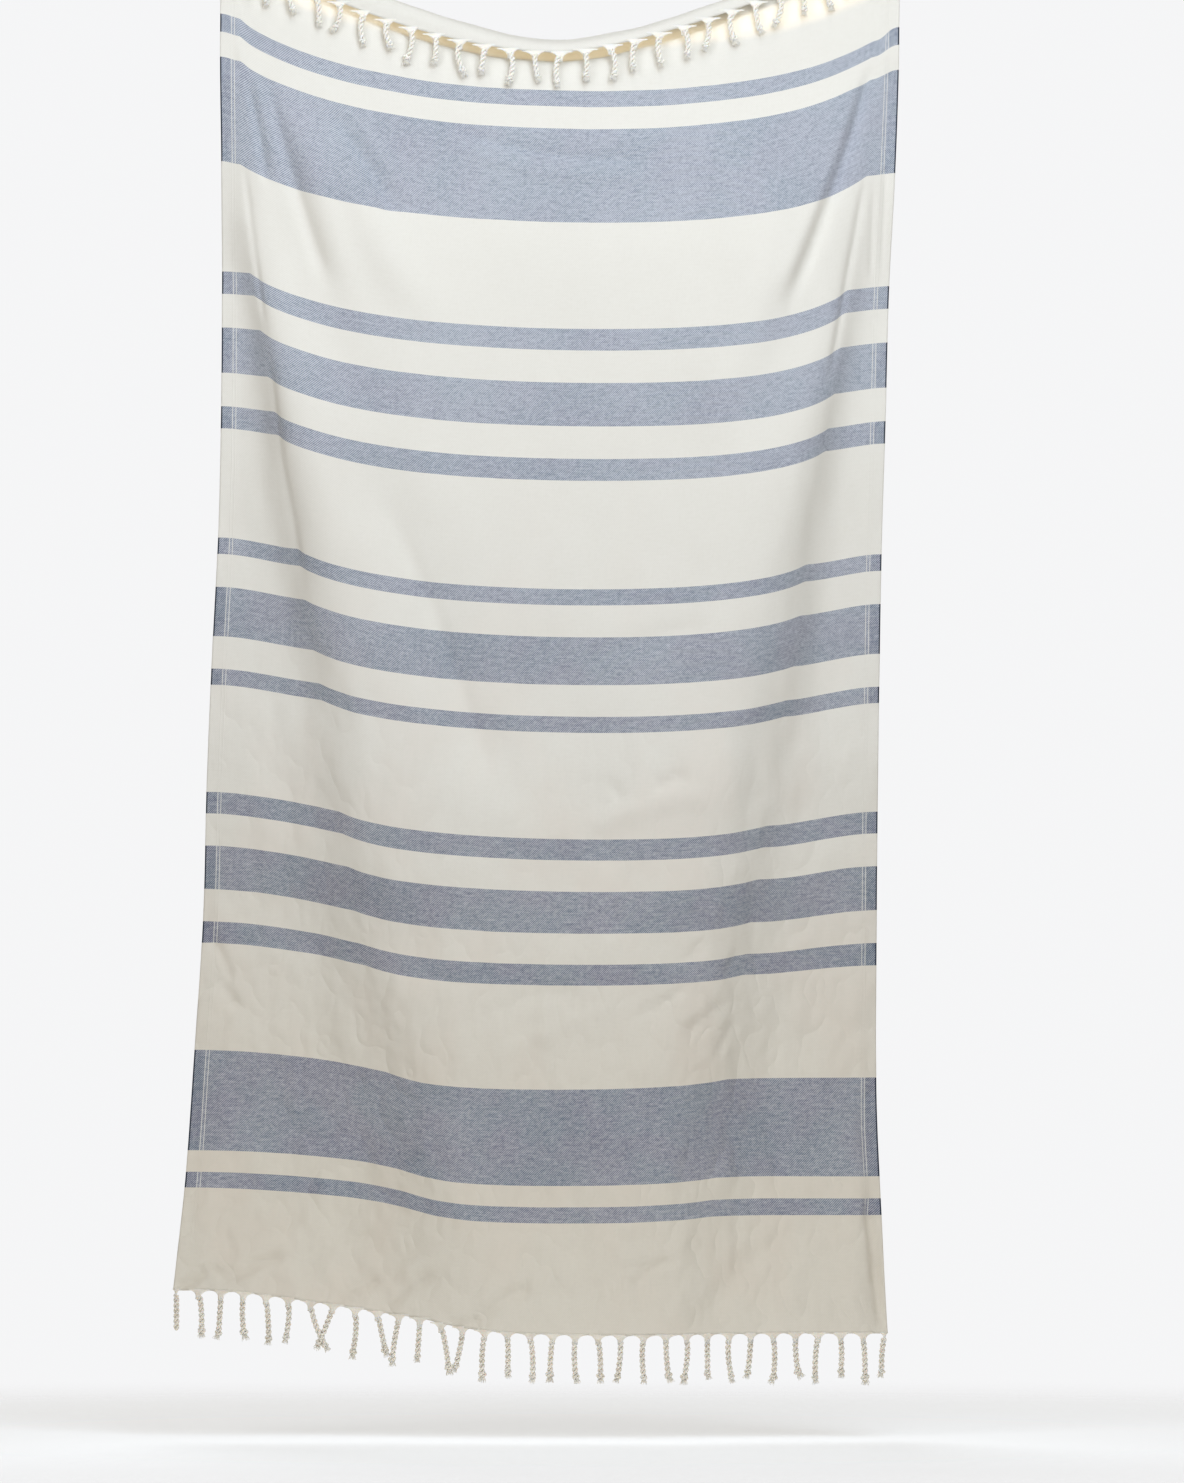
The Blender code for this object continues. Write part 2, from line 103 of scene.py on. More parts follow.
# Folds that step the cloth forward on the way from a side edge to the body. Each runs in from
# its edge at edge_distance, and from knee_along down it slants inwards by slant per metre.
# give_back is the share of the step that the body falls back again, further in.
Step = namedtuple("Step", "name side edge_distance knee_along slant start end "
                          "width_top width_end strength give_back")
STEPS = (
    Step("left_long_fold", -1, 0.028, 0.40, 0.222, 0.12, 2.20, 0.014, 0.100, 1.00, 0.60),
    Step("left_short_fold", -1, 0.050, 0.15, 0.400, -0.20, 0.44, 0.034, 0.060, 0.90, 0.35),
    Step("right_long_fold", 1, 0.041, 0.335, 0.150, 0.12, 2.20, 0.016, 0.095, 1.00, 0.60),
    Step("right_short_fold", 1, 0.050, 0.15, 0.400, -0.20, 0.50, 0.034, 0.060, 0.90, 0.35),
    Step("right_edge_curl", 1, 0.012, 0.00, 0.004, 1.52, 2.00, 0.012, 0.012, 1.40, 0.00),
)
STEP_FADE = 0.44             # distance along in which a fold sets in or dies out
GIVE_BACK_WIDTH = 4.0        # the body falls back over this many widths of the fold
DEEPEST_STEP = 2.2           # radians

# Soft ridges of the body, straight on the flat cloth, with the slope of their flanks, seen from above.
Ridge = namedtuple("Ridge", "name across_top along_top across_end along_end width slope")
RIDGES = (
    Ridge("swag_below_hold", -0.300, 0.28, -0.185, 0.46, 0.030, 0.20),
    Ridge("left_valley", -0.234, 0.68, -0.067, 1.08, 0.040, -0.17),
    Ridge("right_body", 0.300, 0.30, 0.215, 1.10, 0.050, 0.14),
    Ridge("lower_body", 0.060, 1.25, 0.170, 1.95, 0.070, 0.12),
)
RIDGE_FADE = 0.12
WEFT_DRAW = 0.045            # share of its width that the hanging cloth has drawn in by
DRAW_LENGTH = 0.60           # distance up from the bottom hem over which that sets in
BODY_CROWN = 0.06            # radians that the body has turned back by at each side edge

# The rolled fold along the top.
FOLD_SAG = 0.142             # the top fold's middle hangs this far below its corners
FOLD_SAG_ROUND = 0.35        # share of the half width over which the sag is round
FLAP_CLEARANCE = 0.006       # the hem hangs this far in front of the cloth behind it
ROLL_OPENING = 0.012         # from the hem down to the underside of the roll
ROLL_PULL = 0.75             # how far up below the roll the cloth hangs straight
BODY_LEAN = 0.32             # radians from upright, between the roll and the first stripe
ROLL_DEPTHS = (0.012, 0.120)

Flap = namedtuple("Flap", "across height")    # how far the hem hangs below the top fold
FLAP_HEIGHTS = (
    Flap(-HALF_WIDTH, 0.025),
    Flap(-0.210, 0.029),
    Flap(0.000, 0.017),
    Flap(0.250, 0.017),
    Flap(HALF_WIDTH, 0.017),
)
FINE_COLUMNS = 481           # the drape is worked out on this many, then read at the mesh's own
PATH_POINTS = 48             # points on each stretch of the roll's section


def read_column(rows, column, along):
    """A smooth curve through one column of a table, read at distances given by its first column."""
    knots = np.array([row[0] for row in rows])
    values = np.array([getattr(row, column) for row in rows])
    slopes = np.gradient(values, knots)
    low = np.clip(np.searchsorted(knots, along) - 1, 0, len(knots) - 2)
    gap = knots[low + 1] - knots[low]
    t = np.clip((along - knots[low]) / gap, 0, 1)
    start = (1 + 2 * t) * (1 - t) ** 2 * values[low] + t * (1 - t) ** 2 * gap * slopes[low]
    end = t ** 2 * (3 - 2 * t) * values[low + 1] - t ** 2 * (1 - t) * gap * slopes[low + 1]
    return start + end


def smooth_step(value):
    """0 below 0, 1 above 1 and a smooth rise between."""
    t = np.clip(value, 0, 1)
    return t * t * (3 - 2 * t)


def fade(along, start, end, length):
    """1 between start and end, falling smoothly to 0 outside them."""
    return smooth_step((along - start) / length + 0.5) * smooth_step((end - along) / length + 0.5)


def fold_distance(step, along):
    """How far in from its side edge a fold lies."""
    return step.edge_distance + step.slant * max(along - step.knee_along, 0)


def edge_distance(across, side):
    """Distance in from the left (-1) or right (1) side edge."""
    return HALF_WIDTH - side * across


def side_rise(across, along, side, shears):
    """Share of a side edge's rise that is left at each place across: 1 at the edge, 0 at the middle."""
    long_fold = next(step for step in STEPS if step.side == side)
    fold = fold_distance(long_fold, along)
    edge_share = read_column(shears, "edge_share", along)
    fold_share = read_column(shears, "fold_share", along)
    spread = read_column(shears, "fold_spread", along)
    tail_length = read_column(shears, "tail", along)
    distance = edge_distance(across, side)
    to_fold = edge_share * (1 - smooth_step(distance / fold))
    at_fold = fold_share / (1 + np.exp((distance - fold) / spread))
    reach = np.clip(1 - (distance / CLOTH_WIDTH) ** 2, 0, 1)
    tail = (1 - edge_share - fold_share) * np.exp(-np.clip(distance - fold, 0, None) / tail_length)
    return to_fold + at_fold + tail * reach


def body_height(across, along):
    """Height of the cloth below the roll."""
    left = read_column(LEVELS, "left_rise", along) * side_rise(across, along, -1, LEFT_SHEARS)
    right = read_column(LEVELS, "right_rise", along) * side_rise(across, along, 1, RIGHT_SHEARS)
    return read_column(LEVELS, "middle_z", along) + left + right


def roll_section(across, depth):
    """Section of the rolled fold at each place across, from the hem round to the first stripe.

    Gives depth and height along each section, with the first stripe at depth 0.
    """
    share = np.abs(across) / HALF_WIDTH
    crest = FOLD_SAG * share ** 2 * (1 + FOLD_SAG_ROUND) / (share + FOLD_SAG_ROUND)
    flap = read_column(FLAP_HEIGHTS, "height", across)
    stripe = body_height(across, TOP_MARGIN)
    half_height = (flap + ROLL_OPENING) / 2
    underside = crest - 2 * half_height
    lean = (underside - stripe) * math.tan(BODY_LEAN)
    front = lean - FLAP_CLEARANCE
    # up the flap, over the crest, down the back and forward again along the underside
    turn = np.linspace(0, 1.5 * math.pi, 3 * PATH_POINTS)[None, :]
    roll_y = front[:, None] + depth[:, None] / 2 * (1 - np.cos(turn))
    roll_z = (crest - half_height)[:, None] + half_height[:, None] * np.sin(turn)
    # and down to the first stripe
    start = np.stack([front + depth / 2, underside], axis=1)
    leave = np.stack([lean, underside], axis=1)
    end = np.stack([np.zeros_like(stripe), stripe], axis=1)
    arrive = end + ROLL_PULL * (leave - end)
    t = np.linspace(0, 1, PATH_POINTS)[None, 1:, None]
    corners = (start, leave, arrive, end)
    weights = ((1 - t) ** 3, 3 * t * (1 - t) ** 2, 3 * t ** 2 * (1 - t), t ** 3)
    sweep = sum(corner[:, None, :] * weight for corner, weight in zip(corners, weights))
    hem_z = (crest - flap)[:, None]
    return np.hstack([front[:, None], roll_y, sweep[:, :, 0]]), np.hstack([hem_z, roll_z, sweep[:, :, 1]])


def solve_roll(across):
    """The roll's section where its depth takes up just the cloth between hem and first stripe."""
    low = np.full_like(across, ROLL_DEPTHS[0])
    high = np.full_like(across, ROLL_DEPTHS[1])
    for _ in range(40):
        depth = (low + high) / 2
        y, z = roll_section(across, depth)
        length = np.hypot(np.diff(y, axis=1), np.diff(z, axis=1)).sum(axis=1)
        low = np.where(length < TOP_MARGIN, depth, low)
        high = np.where(length < TOP_MARGIN, high, depth)
    return roll_section(across, (low + high) / 2)


def read_section(y, z, along):
    """Depth and height at one distance from the hem, on every section of the roll."""
    points = []
    for section_y, section_z in zip(y, z):
        steps = np.hypot(np.diff(section_y), np.diff(section_z))
        length = np.concatenate([[0], np.cumsum(steps)]) * TOP_MARGIN / steps.sum()
        points.append((np.interp(along, length, section_y), np.interp(along, length, section_z)))
    return np.array(points).T


def step_angles(across, along, side):
    """Turn of the folds on one side, seen from above, before their depth is solved."""
    total = np.zeros_like(across)
    for step in STEPS:
        if step.side != side:
            continue
        share = min(max(along / CLOTH_LENGTH, 0), 1)
        width = step.width_top + (step.width_end - step.width_top) * share
        offset = (edge_distance(across, side) - fold_distance(step, along)) / width
        back = (offset - GIVE_BACK_WIDTH) / GIVE_BACK_WIDTH
        turn = np.exp(-offset ** 2) - step.give_back / GIVE_BACK_WIDTH * np.exp(-back ** 2)
        total += side * step.strength * fade(along, step.start, step.end, STEP_FADE) * turn
    return total


def body_angles(across, along):
    """Turn of the body's soft ridges and of its crown, seen from above."""
    total = BODY_CROWN * across / HALF_WIDTH
    for ridge in RIDGES:
        share = (along - ridge.along_top) / (ridge.along_end - ridge.along_top)
        middle = ridge.across_top + (ridge.across_end - ridge.across_top) * share
        offset = (across - middle) / ridge.width
        strength = ridge.slope * fade(along, ridge.along_top, ridge.along_end, RIDGE_FADE)
        total += strength * offset * np.exp(0.5 - 0.5 * offset ** 2)
    return total


def plan_row(across, along, height):
    """Places of one row across the cloth, seen from above, as wide as its side edges stand apart.

    The folds at each side are turned just deep enough to take up the spare cloth.
    """
    left_x = read_column(LEVELS, "left_x", along)
    right_x = read_column(LEVELS, "right_x", along)
    middle_x = (left_x + right_x) / 2
    level_share = np.sqrt(np.clip(1 - np.gradient(height, across) ** 2, 0.3, 1))
    drawn = WEFT_DRAW * smooth_step((CLOTH_LENGTH - along) / DRAW_LENGTH)
    spacing = (across[1] - across[0]) * (1 - drawn)
    middle = len(across) // 2
    x = np.zeros_like(across)
    y = np.zeros_like(across)
    for side, reach in ((-1, middle_x - left_x), (1, right_x - middle_x)):
        order = np.arange(middle, -1, -1) if side < 0 else np.arange(middle, len(across))
        steps = step_angles(across, along, side)
        shallow, deep = 0.0, DEEPEST_STEP
        for _ in range(30):
            depth = (shallow + deep) / 2
            angles = body_angles(across, along) + depth * steps
            width = (np.cos(angles) * level_share)[order[1:]].sum() * spacing
            shallow, deep = (depth, deep) if width > reach else (shallow, depth)
        run = np.cos(angles) * level_share * spacing
        rise = np.sin(angles) * level_share * spacing
        x[order[1:]] = side * np.cumsum(run[order[1:]])
        y[order[1:]] = side * np.cumsum(rise[order[1:]])
        x[order] *= reach / abs(x[order[-1]])
    return middle_x + x, y


def drape_rows(alongs):
    """Points of the draped cloth, one row for each distance along, on the fine columns."""
    across = np.linspace(-HALF_WIDTH, HALF_WIDTH, FINE_COLUMNS)
    section_y, section_z = solve_roll(across)
    stripe_height = body_height(across, TOP_MARGIN)
    stripe_depth = plan_row(across, TOP_MARGIN, stripe_height)[1]
    stripe_depth = stripe_depth + read_column(LEVELS, "middle_y", TOP_MARGIN)
    middle = len(across) // 2
    origin_y = stripe_depth[middle] + section_y[middle, np.argmax(section_z[middle])]
    rows = []
    for along in alongs:
        if along < TOP_MARGIN:
            depth, height = read_section(section_y, section_z, along)
            x = plan_row(across, along, height)[0]
            y = stripe_depth + depth
        else:
            height = body_height(across, along)
            x, y = plan_row(across, along, height)
            y = y + read_column(LEVELS, "middle_y", along)
        rows.append(np.stack([x, y - origin_y, height], axis=1))
    return across, np.array(rows)


# ================================================================ the cloth: creases and sheet
# Fine creases from folding and handling, and the loose, uneven hand of washed cotton. Each crease
# is a soft trough or ridge pressed into the sheet, thin cloth about 1 mm thick.
CLOTH_THICKNESS = 0.0011
COLUMNS = 172
ROLL_ROWS = 44
BODY_ROWS = 188
FOOT_ROWS = 50               # the last stretch, where most creases are, has closer rows
FOOT_START = 1.600
EDGE_CROWDING = 0.30         # how much closer the columns lie near the side edges

# From one place on the flat cloth to another. bow is how far the middle of the crease lies off
# the straight line, and a negative height is a trough in the front face.
Crease = namedtuple("Crease", "across_start along_start across_end along_end bow width height")
CREASES = (
    # the pinched folds that run down from the two holds
    Crease(-0.450, 0.323, -0.411, 0.545, 0.002, 0.0055, -0.0020),
    Crease(-0.411, 0.530, -0.342, 0.880, -0.006, 0.0070, -0.0018),
    Crease(-0.458, 0.170, -0.430, 0.300, 0.001, 0.0070, 0.0026),
    Crease(-0.450, 0.205, -0.408, 0.345, 0.002, 0.0080, -0.0052),
    Crease(-0.430, 0.200, -0.392, 0.315, 0.002, 0.0090, 0.0036),
    Crease(-0.424, 0.185, -0.312, 0.460, -0.004, 0.0120, -0.0054),
    Crease(-0.385, 0.200, -0.285, 0.450, 0.004, 0.0190, 0.0040),
    Crease(-0.325, 0.210, -0.220, 0.345, 0.006, 0.0130, -0.0080),
    Crease(-0.300, 0.215, -0.190, 0.330, 0.008, 0.0150, 0.0034),
    Crease(-0.180, 0.203, 0.150, 0.243, -0.016, 0.0090, -0.0068),
    Crease(-0.175, 0.220, 0.140, 0.258, -0.018, 0.0110, 0.0044),
    Crease(0.467, 0.160, 0.471, 0.480, 0.000, 0.0045, -0.0022),
    Crease(0.452, 0.340, 0.456, 0.470, 0.000, 0.0045, -0.0018),
    Crease(0.440, 0.320, 0.386, 0.590, 0.004, 0.0070, -0.0034),
    Crease(0.452, 0.160, 0.320, 0.470, 0.004, 0.0120, -0.0074),
    Crease(0.425, 0.180, 0.295, 0.460, 0.006, 0.0160, 0.0050),
    # slack cloth of the body, pulled a little from side to side
    Crease(-0.235, 0.700, -0.070, 1.080, 0.010, 0.0138, -0.0052),
    Crease(0.235, 0.480, 0.120, 0.700, 0.010, 0.0160, -0.0016),
    Crease(0.260, 0.985, 0.318, 1.120, 0.004, 0.0200, -0.0040),
    Crease(0.083, 1.058, 0.112, 1.090, 0.002, 0.0063, -0.0032),
    Crease(0.150, 1.076, 0.203, 1.056, 0.003, 0.0063, -0.0032),
    Crease(0.010, 1.364, 0.050, 1.340, 0.002, 0.0063, -0.0040),
    Crease(0.140, 1.386, 0.212, 1.338, 0.004, 0.0069, -0.0052),
    Crease(0.195, 1.416, 0.272, 1.366, 0.005, 0.0069, -0.0052),
    Crease(0.243, 1.452, 0.286, 1.393, 0.003, 0.0069, -0.0044),
    Crease(0.195, 1.312, 0.232, 1.282, 0.002, 0.0063, -0.0036),
    Crease(0.256, 1.334, 0.286, 1.300, 0.002, 0.0063, -0.0036),
    Crease(-0.476, 1.322, -0.436, 1.390, 0.003, 0.0063, -0.0048),
    Crease(-0.466, 1.378, -0.425, 1.428, 0.003, 0.0063, -0.0040),
    Crease(-0.110, 1.400, 0.060, 1.330, 0.008, 0.0103, -0.0028),
    Crease(-0.060, 1.440, 0.130, 1.360, 0.008, 0.0103, 0.0028),
    Crease(0.060, 0.900, 0.230, 0.860, 0.006, 0.0115, -0.0024),
    Crease(0.050, 1.130, 0.240, 1.080, 0.008, 0.0138, 0.0032),
    # the foot, crumpled where it was folded in the packet
    Crease(-0.482, 1.797, -0.438, 1.766, -0.004, 0.0075, -0.0068),
    Crease(-0.440, 1.766, -0.405, 1.788, 0.002, 0.0069, -0.0056),
    Crease(-0.410, 1.790, -0.338, 1.736, 0.006, 0.0075, -0.0064),
    Crease(-0.330, 1.775, -0.215, 1.690, 0.006, 0.0086, -0.0044),
    Crease(-0.290, 1.740, -0.180, 1.660, 0.006, 0.0126, 0.0044),
    Crease(-0.268, 1.801, -0.205, 1.752, 0.004, 0.0075, -0.0064),
    Crease(-0.203, 1.801, -0.125, 1.728, 0.005, 0.0075, -0.0068),
    Crease(-0.190, 1.760, -0.085, 1.665, 0.006, 0.0115, 0.0052),
    Crease(-0.110, 1.801, -0.062, 1.779, -0.003, 0.0075, -0.0064),
    Crease(-0.070, 1.783, 0.000, 1.733, 0.004, 0.0075, -0.0064),
    Crease(-0.030, 1.795, 0.060, 1.700, 0.006, 0.0115, 0.0052),
    Crease(0.138, 1.775, 0.138, 1.720, 0.003, 0.0069, -0.0060),
    Crease(0.138, 1.726, 0.196, 1.703, 0.004, 0.0075, -0.0056),
    Crease(0.180, 1.801, 0.305, 1.675, 0.010, 0.0190, 0.0044),
    Crease(0.225, 1.800, 0.345, 1.680, 0.010, 0.0140, -0.0030),
    Crease(0.463, 1.625, 0.475, 1.801, 0.002, 0.0063, -0.0076),
)
CREASE_END = 0.22            # share of a crease's length over which each end dies out

# Washed cotton is never quite flat: soft waves, stronger towards the foot, where no weight draws.
WAVES = (
    # wavelength in metres, height at the top, height at the foot
    (0.130, 0.0022, 0.0070),
    (0.050, 0.0012, 0.0040),
    (0.024, 0.0004, 0.0016),
)
WAVE_STRETCH = 0.45          # warp runs down the cloth, so the waves are longer that way
WAVE_SLICE = 7.0             # each wavelength takes its own slice of the noise


def crease_height(across, along):
    """How far the creases lift the front face at each place on the flat cloth."""
    total = np.zeros_like(across)
    for crease in CREASES:
        run = crease.across_end - crease.across_start
        fall = crease.along_end - crease.along_start
        length = math.hypot(run, fall)
        beside = across - crease.across_start
        below = along - crease.along_start
        share = (beside * run + below * fall) / length ** 2
        off = (beside * fall - below * run) / length
        off = off - crease.bow * (1 - (2 * np.clip(share, 0, 1) - 1) ** 2)
        ends = smooth_step(share / CREASE_END) * smooth_step((1 - share) / CREASE_END)
        total += crease.height * ends * np.exp(-(off / crease.width) ** 2)
    return total


def wave_height(across, along):
    """The soft unevenness of washed cotton at one place."""
    slack = smooth_step(along / CLOTH_LENGTH)
    total = 0.0
    for length, height_top, height_foot in WAVES:
        place = Vector((across / length, WAVE_STRETCH * along / length, WAVE_SLICE * length))
        total += (height_top + (height_foot - height_top) * slack) * noise.noise(place)
    return total


def sheet_columns():
    """Places across for the mesh's columns, closer together near the side edges."""
    t = np.linspace(-1, 1, COLUMNS + 1)
    return HALF_WIDTH * ((1 + EDGE_CROWDING) * t - EDGE_CROWDING * t ** 3)


def sheet_rows():
    """Distances along for the mesh's rows."""
    roll = np.linspace(0, TOP_MARGIN, ROLL_ROWS, endpoint=False)
    body = np.linspace(TOP_MARGIN, FOOT_START, BODY_ROWS, endpoint=False)
    return np.concatenate([roll, body, np.linspace(FOOT_START, CLOTH_LENGTH, FOOT_ROWS + 1)])


def face_normals(grid):
    """Unit normals of a grid of points, out of the front face."""
    down = np.gradient(grid, axis=0)
    right = np.gradient(grid, axis=1)
    normals = np.cross(down, right)
    return normals / np.linalg.norm(normals, axis=2, keepdims=True)


columns = sheet_columns()
alongs = sheet_rows()
fine_across, fine_rows = drape_rows(alongs)
sheet_grid = np.stack([
    np.stack([np.interp(columns, fine_across, row[:, axis]) for axis in range(3)], axis=1)
    for row in fine_rows
])
flat_across, flat_along = np.meshgrid(columns, alongs)
lift = crease_height(flat_across, flat_along) + np.vectorize(wave_height)(flat_across, flat_along)
sheet_grid = sheet_grid + face_normals(sheet_grid) * lift[:, :, None]


def make_sheet(grid, across, along):
    """The cloth as one sheet of quads, with its flat place in metres as its UV map."""
    rows, places = grid.shape[:2]
    index = np.arange(rows * places).reshape(rows, places)
    quads = np.stack([index[:-1, :-1], index[1:, :-1], index[1:, 1:], index[:-1, 1:]], axis=2).reshape(-1, 4)
    mesh = bpy.data.meshes.new("towel_sheet")
    mesh.from_pydata(grid.reshape(-1, 3).tolist(), [], quads.tolist())
    mesh.shade_smooth()
    weave_map = mesh.uv_layers.new(name="flat_cloth")
    flat = np.stack([across + HALF_WIDTH, along], axis=2).reshape(-1, 2)
    weave_map.data.foreach_set("uv", flat[quads.reshape(-1)].ravel())
    return mesh


cloth = bpy.data.objects.new("striped_cloth", make_sheet(sheet_grid, flat_across, flat_along))
bpy.context.scene.collection.objects.link(cloth)
body_thickness = cloth.modifiers.new("thickness", "SOLIDIFY")
body_thickness.thickness = CLOTH_THICKNESS
body_thickness.offset = 0


# ================================================================ the cloth: its weave
# Cream cotton warp throughout. Cream weft, or navy weft in the stripes, in a fine twill, so that
# the stripes look blue-grey from a step away. Thicker warp ends mark both selvedges.
THREAD = 0.00075             # from one thread to the next, in warp and weft
TWILL = 4                    # threads in one repeat of the diagonal
LINE_DISTANCES = (0.0160, 0.0205)    # the thicker warp ends, in from each side edge
LINE_WIDTH = 0.0007
SELVEDGE_WIDTH = 0.0026
UPPER_PAINTED_LIGHT = 0.20          # share of the navy taken out of the uppermost stripes: painted light, for the stronger light at the top

Stripe = namedtuple("Stripe", "start end")
STRIPES = (
    Stripe(0.150, 0.172),
    Stripe(0.201, 0.329),
    Stripe(0.471, 0.493),
    Stripe(0.536, 0.597),
    Stripe(0.640, 0.662),
    Stripe(0.805, 0.827),
    Stripe(0.870, 0.931),
    Stripe(0.974, 0.996),
    Stripe(1.139, 1.161),
    Stripe(1.204, 1.265),
    Stripe(1.308, 1.330),
    Stripe(1.472, 1.600),
    Stripe(1.629, 1.651),
)
PAINTED_LIGHT_DIES_OUT_OVER = (0.40, 1.45)       # distances along between which that painted light dies out
NAVY_GREYS_OVER = (0.60, 1.45)       # and between which the warp in the stripes turns greyer
FOOT_SHADE_OVER = (0.90, 1.70)      # and between which the cream takes on its painted shade of the foot
PAINTED_GLOW_SETS_IN = (0.045, 0.065)        # painted glow on the cloth behind the roll's opening, where it sets in
# and where that painted glow dies out
PAINTED_GLOW_DIES_OUT = (0.078, 0.100)
CRUMPLE_SETS_IN = (0.70, 1.75)

# Unevenness of the yarns and of the dye: stretches of noise, across and along, in waves a metre.
WEFT_SLUBS = (45, 950, 1)
WARP_SLUBS = (950, 40, 1)
STREAKS = (70, 330, 1)
MOTTLE = (210, 210, 1)
CRUMPLE = (17, 12, 1)
HANDLING = (1.0, 0.6, 1.0)

# Heights of the relief, in metres.
THREAD_RELIEF = 0.00016
LINE_RELIEF = 0.00030
SLUB_RELIEF = 0.00010
CRUMPLE_RELIEF = 0.034

CREAM_WARP = (0.870, 0.858, 0.805)
CREAM_WEFT = (0.815, 0.800, 0.740)
HANDLED_CREAM = (0.865, 0.825, 0.765)
PAINTED_FOOT_SHADE = (0.90, 0.86, 0.80)       # painted shade: the cream is darkened and warmed by this factor towards the foot
NAVY_WEFT = (0.080, 0.126, 0.196)
LILAC_WEFT = (0.108, 0.116, 0.198)
EDGE_NAVY = (0.022, 0.032, 0.058)
# painted light: colour of the warm glow emitted from the cloth behind the roll's opening
PAINTED_FOLD_GLOW = (0.280, 0.215, 0.115)
PALE_WARP = (0.625, 0.665, 0.735)    # the cream warp between navy threads, which tint it
GREY_WARP = (0.640, 0.650, 0.670)    # the same in the lower stripes


def add_node(tree, kind, settings, values, output):
    """Add a node: its settings first, then the values or links of its sockets. Gives one output."""
    node = tree.nodes.new(kind)
    for name, value in settings.items():
        if name == "stops":
            set_stops(node.color_ramp, value)
        elif name == "interpolation":
            node.color_ramp.interpolation = value
        else:
            setattr(node, name, value)
    for name, value in values.items():
        if isinstance(value, bpy.types.NodeSocket):
            tree.links.new(value, node.inputs[name])
        else:
            node.inputs[name].default_value = value
    return node.outputs[output]


class Shade:
    """One socket of a material's tree. Arithmetic on it adds Math nodes."""

    def __init__(self, tree, socket):
        self.tree = tree
        self.socket = socket

    def node(self, kind, settings, values, output=0):
        """One output of a new node in this tree. Its values may be other shades."""
        values = {name: value.socket if isinstance(value, Shade) else value for name, value in values.items()}
        return Shade(self.tree, add_node(self.tree, kind, settings, values, output))

    def feed(self, shader, name):
        """Link this to one of the shader's own sockets."""
        self.tree.links.new(self.socket, shader.inputs[name])

    def math(self, operation, *others):
        return self.node("ShaderNodeMath", {"operation": operation}, dict(enumerate((self, *others))))

    def __add__(self, other):
        return self.math("ADD", other)

    def __sub__(self, other):
        return self.math("SUBTRACT", other)

    def __rsub__(self, other):
        return (self * -1) + other

    def __mul__(self, other):
        return self.math("MULTIPLY", other)

    def __truediv__(self, other):
        return self.math("DIVIDE", other)

    __radd__ = __add__
    __rmul__ = __mul__

    def between(self, low, high):
        """0 below low, 1 above high and a smooth rise between."""
        ends = {"Value": self, "From Min": low, "From Max": high}
        return self.node("ShaderNodeMapRange", {"interpolation_type": "SMOOTHSTEP"}, ends)

    def mixed(self, zero, one):
        """The colour zero where this is 0 and one where it is 1. Each is a shade or red, green, blue."""
        zero, one = [(*colour, 1) if isinstance(colour, tuple) else colour for colour in (zero, one)]
        colours = {0: self, 6: zero, 7: one}
        return self.node("ShaderNodeMix", {"data_type": "RGBA"}, colours, output=2)

    def noise(self, scale, detail, stretch=(1, 1, 1)):
        """Noise between 0 and 1 over this vector, stretched along its axes."""
        place = self.node("ShaderNodeVectorMath", {"operation": "MULTIPLY"}, {0: self, 1: stretch})
        wanted = {"Vector": place, "Scale": scale, "Detail": detail}
        return self.node("ShaderNodeTexNoise", {}, wanted)


def set_stops(ramp, stops):
    """Give a colour ramp these stops, each a place and a colour."""
    while len(ramp.elements) > 1:
        ramp.elements.remove(ramp.elements[-1])
    for number, (place, colour) in enumerate(stops):
        element = ramp.elements[0] if number == 0 else ramp.elements.new(place)
        element.position = place
        element.color = (*colour, 1)


def new_material(name):
    """A material's tree, its shader node, and a first socket to build on: the object's own coordinates."""
    material = bpy.data.materials.new(name)
    material.use_nodes = True
    tree = material.node_tree
    place = tree.nodes.new("ShaderNodeTexCoord")
    return material, tree.nodes["Principled BSDF"], Shade(tree, place.outputs["Object"])


def set_inputs(shader, values):
    """Give the shader's own sockets these constants."""
    for name, value in values.items():
        shader.inputs[name].default_value = value


def stripe_mask(along):
    """1 in the stripes and 0 between them."""
    stops = [(0.0, (0, 0, 0))]
    for stripe in STRIPES:
        stops.append((stripe.start / CLOTH_LENGTH, (1, 1, 1)))
        stops.append((stripe.end / CLOTH_LENGTH, (0, 0, 0)))
    share = along / CLOTH_LENGTH
    return share.node("ShaderNodeValToRGB", {"interpolation": "CONSTANT", "stops": stops}, {"Fac": share})


